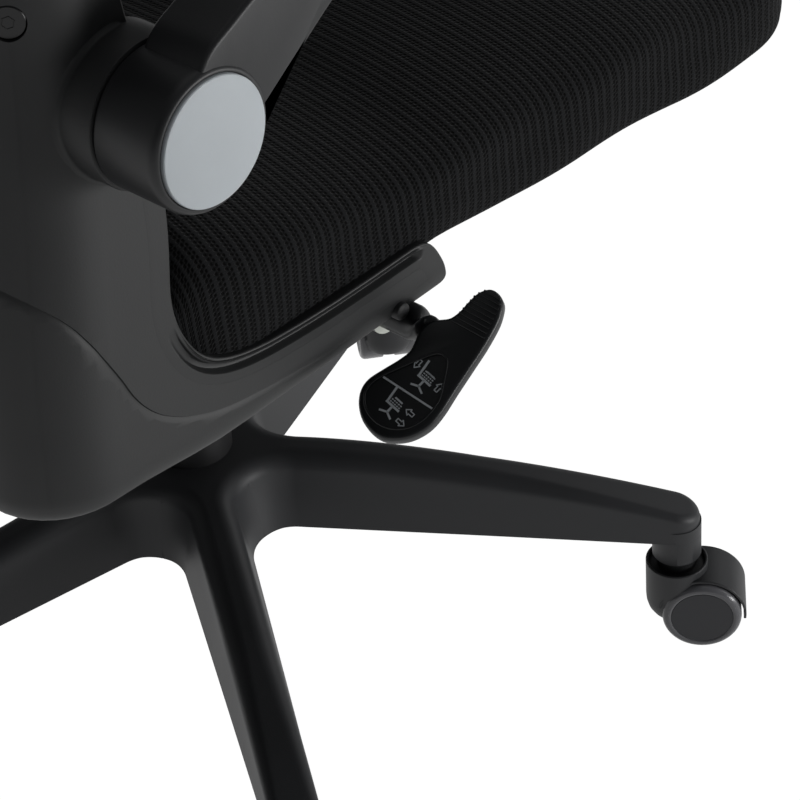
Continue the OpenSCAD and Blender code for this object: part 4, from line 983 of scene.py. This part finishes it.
PADDLE = (Matrix.Translation((-262.0, 62.0, 387.0)) @ Matrix.Rotation(radians(180), 4, "Z")
          @ Matrix.Rotation(radians(14), 4, "Y") @ Matrix.Rotation(radians(29.3), 4, "X"))
PADDLE_EDGE = [(11.1, 42.0), (16.0, 43.0), (21.3, 40.8), (24.7, 35.6), (27.2, 29.0), (29.6, 17.0), (31.2, 4.0),
               (33.0, -11.0), (34.6, -22.5), (34.6, -32.0), (32.0, -40.0), (27.4, -46.4), (20.0, -51.6),
               (12.6, -52.6), (4.1, -50.6), (-3.0, -45.6), (-7.4, -39.0), (-8.2, -31.8), (-5.4, -23.1),
               (-2.4, -15.1), (-0.8, -8.4), (-2.0, -2.4), (-3.6, 2.6), (-3.4, 8.0), (-1.6, 12.2), (1.6, 15.0),
               (4.9, 18.4), (6.4, 24.0), (6.6, 30.0), (7.6, 37.0)]
DROP_EDGE = [(-2.8, -26.1), (-4.9, -32.5), (-4.2, -38.5), (-0.3, -43.2), (5.0, -46.2), (12.4, -47.2),
             (20.2, -45.0), (26.6, -39.4), (29.8, -31.6), (30.2, -24.4), (29.2, -18.2), (25.6, -11.2),
             (21.4, -3.8), (18.6, -0.4), (15.2, 0.6), (11.4, -1.6), (7.0, -8.2), (2.0, -17.0)]


def raised_line(points, half_w, low, high, closed=True):
    """A low ridge with a rounded top along a flat path in the paddle's plane."""
    pts = [np.array(p) for p in points]
    n = len(pts)
    rings = []
    for i, p in enumerate(pts):
        a = pts[i - 1] if closed or i else p
        b = pts[(i + 1) % n] if closed or i + 1 < n else p
        t = (b - a) / np.linalg.norm(b - a)
        s = np.array([-t[1], t[0]])
        rings.append([(*(p + s * k * half_w), z) for k, z in
                      ((-1, low), (-1, high - 0.25), (-0.5, high), (0.5, high), (1, high - 0.25), (1, low))])
    return loft(rings, "joined" if closed else "capped")


def pictogram(origin, scale, angle, rows, arrows):
    """A plain side view of a chair with a patterned seat, and outlined arrows beside it."""
    bars = [((-3.2, 0.2), (2.6, 0.2), 0.8), ((-3.0, 0.6), (-4.0, 6.2), 0.8), ((-0.2, 0.0), (-0.2, -2.6), 0.8),
            ((-2.8, -3.6), (-0.2, -2.5), 0.7), ((2.4, -3.6), (-0.2, -2.5), 0.7),
            ((-1.6, 3.0), (1.6, 3.0), 0.6)]
    for row in range(rows):
        for k in range(5):
            bars.append(((-2.2 + k, 1.1 + 0.9 * row), (-1.8 + k, 1.1 + 0.9 * row), 0.45))
    for x, y, turn in arrows:
        c, s = cos(radians(turn)), sin(radians(turn))
        edge = [(-0.6, -1.6), (0.6, -1.6), (0.6, 0.2), (1.3, 0.2), (0.0, 1.8), (-1.3, 0.2), (-0.6, 0.2),
                (-0.6, -1.6)]
        edge = [(x + c * p - s * q, y + s * p + c * q) for p, q in edge]
        bars += [(a, b, 0.36) for a, b in zip(edge[:-1], edge[1:])]
    parts = []
    for a, b, width in bars:
        a, b = np.array(a, float), np.array(b, float)
        t = (b - a) / np.linalg.norm(b - a)
        s = np.array([-t[1], t[0]]) * width / 2
        quad = [a - s - t * width / 4, b - s + t * width / 4, b + s + t * width / 4, a + s - t * width / 4]
        c, n = cos(radians(angle)), sin(radians(angle))
        outline = [(origin[0] + scale * (c * x - n * y), origin[1] + scale * (n * x + c * y)) for x, y in quad]
        parts.append(prism(outline, -0.55, -0.32))
    return join(*parts)


def lever():
    outline = [tuple(p) for p in smooth_curve(PADDLE_EDGE, 4, True)]
    obj = make("paddle", prism(outline, -8.6, 0.0), lever_plastic)
    bevel(obj, 2.3, 4, 60)
    drop = smooth_curve(DROP_EDGE, 4, True)
    cut(obj, prism([tuple(p) for p in drop], -0.7, 3.0))
    flat = [mesh_data(obj), raised_line(drop, 0.55, -1.0, 0.35)]
    bpy.data.objects.remove(obj)
    for k in range(9):
        v = 17.6 + 2.75 * k
        left = 7.0 + 0.1 * k if k < 7 else 8.4 + 1.6 * (k - 7)
        right = 27.0 - 0.75 * k if k < 7 else 21.6 - 1.6 * (k - 7)
        start, end = np.array([left, v]), np.array([right, v + 0.115 * (right - left)])
        line = [start + (end - start) * t for t in (0, 0.1, 0.5, 0.9, 1)]
        flat.append(raised_line(line, 0.5, -0.8, 0.7, False))
    sleeve = revolve([(0, 226.0), (8.6, 226.0), (9.4, 226.8), (9.5, 228.0), (9.5, 246.4), (0, 246.4)], 48)
    sleeve = along_axis(sleeve, (0, LEVER_Y, LEVER_Z), (-1, 0, 0))
    rings = []
    end = PADDLE @ Vector((4.0, 6.5, -4.3))
    across, up = PADDLE.to_3x3() @ Vector((0, 1, 0)), PADDLE.to_3x3() @ Vector((0, 0, 1))
    for k in range(15):
        f = k / 14
        e = ease(f)
        centre = Vector((-246.0, LEVER_Y, LEVER_Z)).lerp(end, e)
        centre.x = -246.0 + (end.x + 246.0) * f
        one = Vector((0, 1, 0)).lerp(across, e).normalized() * (9.5 - 1.5 * e)
        two = Vector((0, 0, 1)).lerp(up, e).normalized() * (9.5 - 5.6 * e)
        rings.append([tuple(centre + one * cos(a) + two * sin(a))
                      for a in [2 * pi * n / 48 for n in range(48)]])
    shape = join(moved(join(*flat), PADDLE), sleeve, loft(rings))
    make("lever_paddle_body", shape, lever_plastic, "lever", ("lever_paddle",))
    marks = join(prism([(-2.2, -27.1), (30.2, -25.2), (30.2, -24.2), (-2.2, -26.1)], -0.75, -0.3),
                 pictogram((16.6, -16.0), 1.5, -5, 3, ((5.4, 1.6, 0), (-6.2, 3.0, 180))),
                 pictogram((12.4, -36.0), 1.5, -5, 2, ((6.0, -2.2, -90), (6.0, 2.4, 90))))
    make("lever_marks", moved(marks, PADDLE), print_white, "lever", (), 30)


lever()


# Casters: hood and collar drawn afresh, wheels and tyres with rounded edges

def hood_mesh():
    steps = 40
    outer, inner, half = 28.0, 26.4, 17.6
    section = ((outer - 0.5, -half), (outer, -half + 0.5), (outer, half - 0.5), (outer - 0.5, half),
               (inner, half), (inner, -half))
    rings = []
    for k in range(steps + 1):
        a = radians(-6 + 174 * k / steps)
        c, s = cos(a), sin(a)
        rings.append([(TRAIL + r * c, y, WHEEL_R + r * s) for r, y in section])
    web = [(TRAIL + 27.0 * cos(radians(a)), WHEEL_R + 27.0 * sin(radians(a)))
           for a in range(-4, 168, 10)]
    web += [(TRAIL - 26.0, 17.6), (TRAIL - 8, 14.0), (TRAIL + 8, 14.0), (TRAIL + 26.0, 22.6)]
    return join(loft(rings), prism(web, -3.2, 3.2, "y"))


def caster(i):
    stem = Matrix.Rotation(radians(LEG_ANGLE - 72 * i), 4, "Z") @ Matrix.Translation((CASTER_R, 0, 0))
    turn = stem @ Matrix.Rotation(radians(CASTER_TURNS[i]), 4, "Z")
    number = i + 1
    body = "caster_%d" % number
    collar = revolve([(12.0, 52.0), (17.9, 52.0), (17.9, 57.3), (18.4, 57.9), (19.1, 57.9), (19.6, 57.3),
                      (19.6, 30.0), (19.3, 26.0), (18.2, 22.0), (16.2, 18.8), (14.0, 18.0), (9.0, 20.0),
                      (9.0, 52.0), (12.0, 52.0)], 56)
    make("hood_%d_body" % number, moved(join(hood_mesh(), collar), turn), base_plastic, body,
         ("hood_%d" % number,), 38)
    # Dark bush in the collar's top and round the stem up to the leg's socket. The collar's black ring is real.
    # The dark neck in the gap under the socket is painted shade.
    sleeve = revolve([(5.6, 50.8), (17.85, 50.8), (17.85, 54.6), (16.0, 55.2), (12.5, 55.2), (12.0, 57.0),
                      (12.0, 62.8), (5.6, 62.8), (5.6, 50.8)], 40)
    make("stem_bush_and_painted_shade_%d" % number, moved(sleeve, turn), dark_plastic, body, (), 38)
    tyre = [(19.6, 4.0), (24.2, 4.0), (24.8, 4.4), (25.0, 5.0), (25.0, 16.6)]
    tyre += [(21.2 + 3.8 * cos(radians(a)), 17.0 + 3.9 * sin(radians(a)))
             for a in (10, 25, 40, 55, 70, 82)]
    tyre += [(21.0, 20.95), (20.2, 20.8), (19.6, 20.3), (19.6, 4.0)]
    disc = [(0.0, 4.0), (19.7, 4.0), (19.7, 20.1), (19.3, 20.5), (0.0, 20.6)]
    for name, profile, material, slot in (("tyres", tyre, tyre_grey, "tyre_grey"),
                                          ("wheels", disc, wheel_plastic, "wheel_face")):
        pair = [along_axis(revolve(profile), (TRAIL, 0, WHEEL_R), (0, side, 0)) for side in (-1, 1)]
        make("%s_%d_round" % (name, number), moved(join(*pair), turn), material, "wheel_%d" % number,
             ("%s_%d" % (name, number),), 40)


for index in range(5):
    caster(index)


# Seat pan with a rolled edge

def seat_pan():
    rings = []
    for d, z in ((3.0, 392.0), (0.8, 392.6), (0.0, 394.0), (0.0, 402.0), (0.8, 403.4), (3.0, 403.9)):
        w, front, rear = 215.0 - d, -291.6 + d, 177.0 - d
        ring = (arc(w - 50, front + 50, 50, -90, 0, 12) + arc(w - 25, rear - 25, 25, 0, 90, 8)
                + arc(-w + 25, rear - 25, 25, 90, 180, 8) + arc(-w + 50, front + 50, 50, 180, 270, 12))
        rings.append([(x, y, z) for x, y in ring])
    make("seat_pan_board", loft(rings), dark_plastic, "seat", ("seat_pan",), 40)


seat_pan()


# Stage, lights and camera

def stage():
    size = 12.0
    corners = [(-size, -size, 0), (size, -size, 0), (size, size, 0), (-size, size, 0)]
    mesh = bpy.data.meshes.new("floor")
    mesh.from_pydata(corners, [], [(0, 1, 2, 3)])
    floor = add_object("floor", mesh)
    material, tree, shader = nodes_of("pale_floor")
    set_inputs(tree, shader, {"Base Color": (0.86, 0.86, 0.86, 1), "Roughness": 0.9})
    white = add_node(tree, "Emission", {"Color": (1, 1, 1, 1), "Strength": 1.06})
    rays = add_node(tree, "LightPath").outputs
    seen = calc(tree, "MAXIMUM", rays["Is Camera Ray"],
                calc(tree, "MAXIMUM", rays["Is Glossy Ray"], rays["Is Transmission Ray"]))
    hidden = calc(tree, "MULTIPLY", rays["Is Glossy Ray"], -0.45)
    dimmed = calc(tree, "MULTIPLY", calc(tree, "ADD", seen, hidden), 0.96)
    mix = add_node(tree, "MixShader", {0: dimmed, 1: shader.outputs["BSDF"], 2: white.outputs["Emission"]})
    set_inputs(tree, tree.nodes["Material Output"], {"Surface": mix.outputs["Shader"]})
    mesh.materials.append(material)
    world = bpy.data.worlds.new("studio")
    bpy.context.scene.world = world
    world.use_nodes = True
    tree = world.node_tree
    back = tree.nodes["Background"]
    set_inputs(tree, back, {"Color": (0.75, 0.76, 0.78, 1), "Strength": 0.12})
    plain = add_node(tree, "Background", {"Color": (1, 1, 1, 1)})
    seen = add_node(tree, "LightPath").outputs["Is Camera Ray"]
    mix = add_node(tree, "MixShader", {0: seen, 1: back.outputs["Background"], 2: plain.outputs["Background"]})
    set_inputs(tree, tree.nodes["World Output"], {"Surface": mix.outputs["Shader"]})


def area(name, place, target, size, power):
    lamp = bpy.data.lights.new(name, "AREA")
    lamp.shape = "RECTANGLE"
    lamp.size, lamp.size_y = size
    lamp.energy = power
    obj = add_object(name, lamp)
    obj.location = place
    obj.rotation_euler = (Vector(target) - Vector(place)).to_track_quat("-Z", "Y").to_euler()


stage()
area("side", (-3.0, -1.5, 0.34), (0, 0, 0.4), (2.0, 0.6), 38)
area("key", (-2.4, -2.4, 1.8), (0, 0, 0.4), (1.6, 1.6), 7)
area("top", (0.2, -0.4, 3.2), (0, 0, 0.4), (2.4, 2.0), 4)
area("rear", (1.0, 3.0, 1.4), (0, 0, 0.5), (2.0, 1.6), 1.5)
area("front", (0.3, -3.2, 1.2), (0, 0, 0.4), (2.0, 1.4), 6)


def camera():
    az, pitch, roll = (radians(a) for a in (224.56, 37.62, 4.59))
    back = Vector((sin(az) * cos(pitch), -cos(az) * cos(pitch), sin(pitch)))
    right = (-back).cross(Vector((0, 0, 1))).normalized()
    up = right.cross(-back)
    r = right * cos(roll) - up * sin(roll)
    u = right * sin(roll) + up * cos(roll)
    data = bpy.data.cameras.new("camera")
    data.sensor_width = 36.0
    data.lens = 126.03
    data.clip_end = 50.0
    obj = add_object("camera", data)
    m = Matrix((r, u, back)).transposed().to_4x4()
    m.translation = Vector((-1.05198, 0.88197, 1.22668))
    obj.matrix_world = m
    bpy.context.scene.camera = obj


camera()
bpy.context.scene.view_settings.view_transform = "Standard"
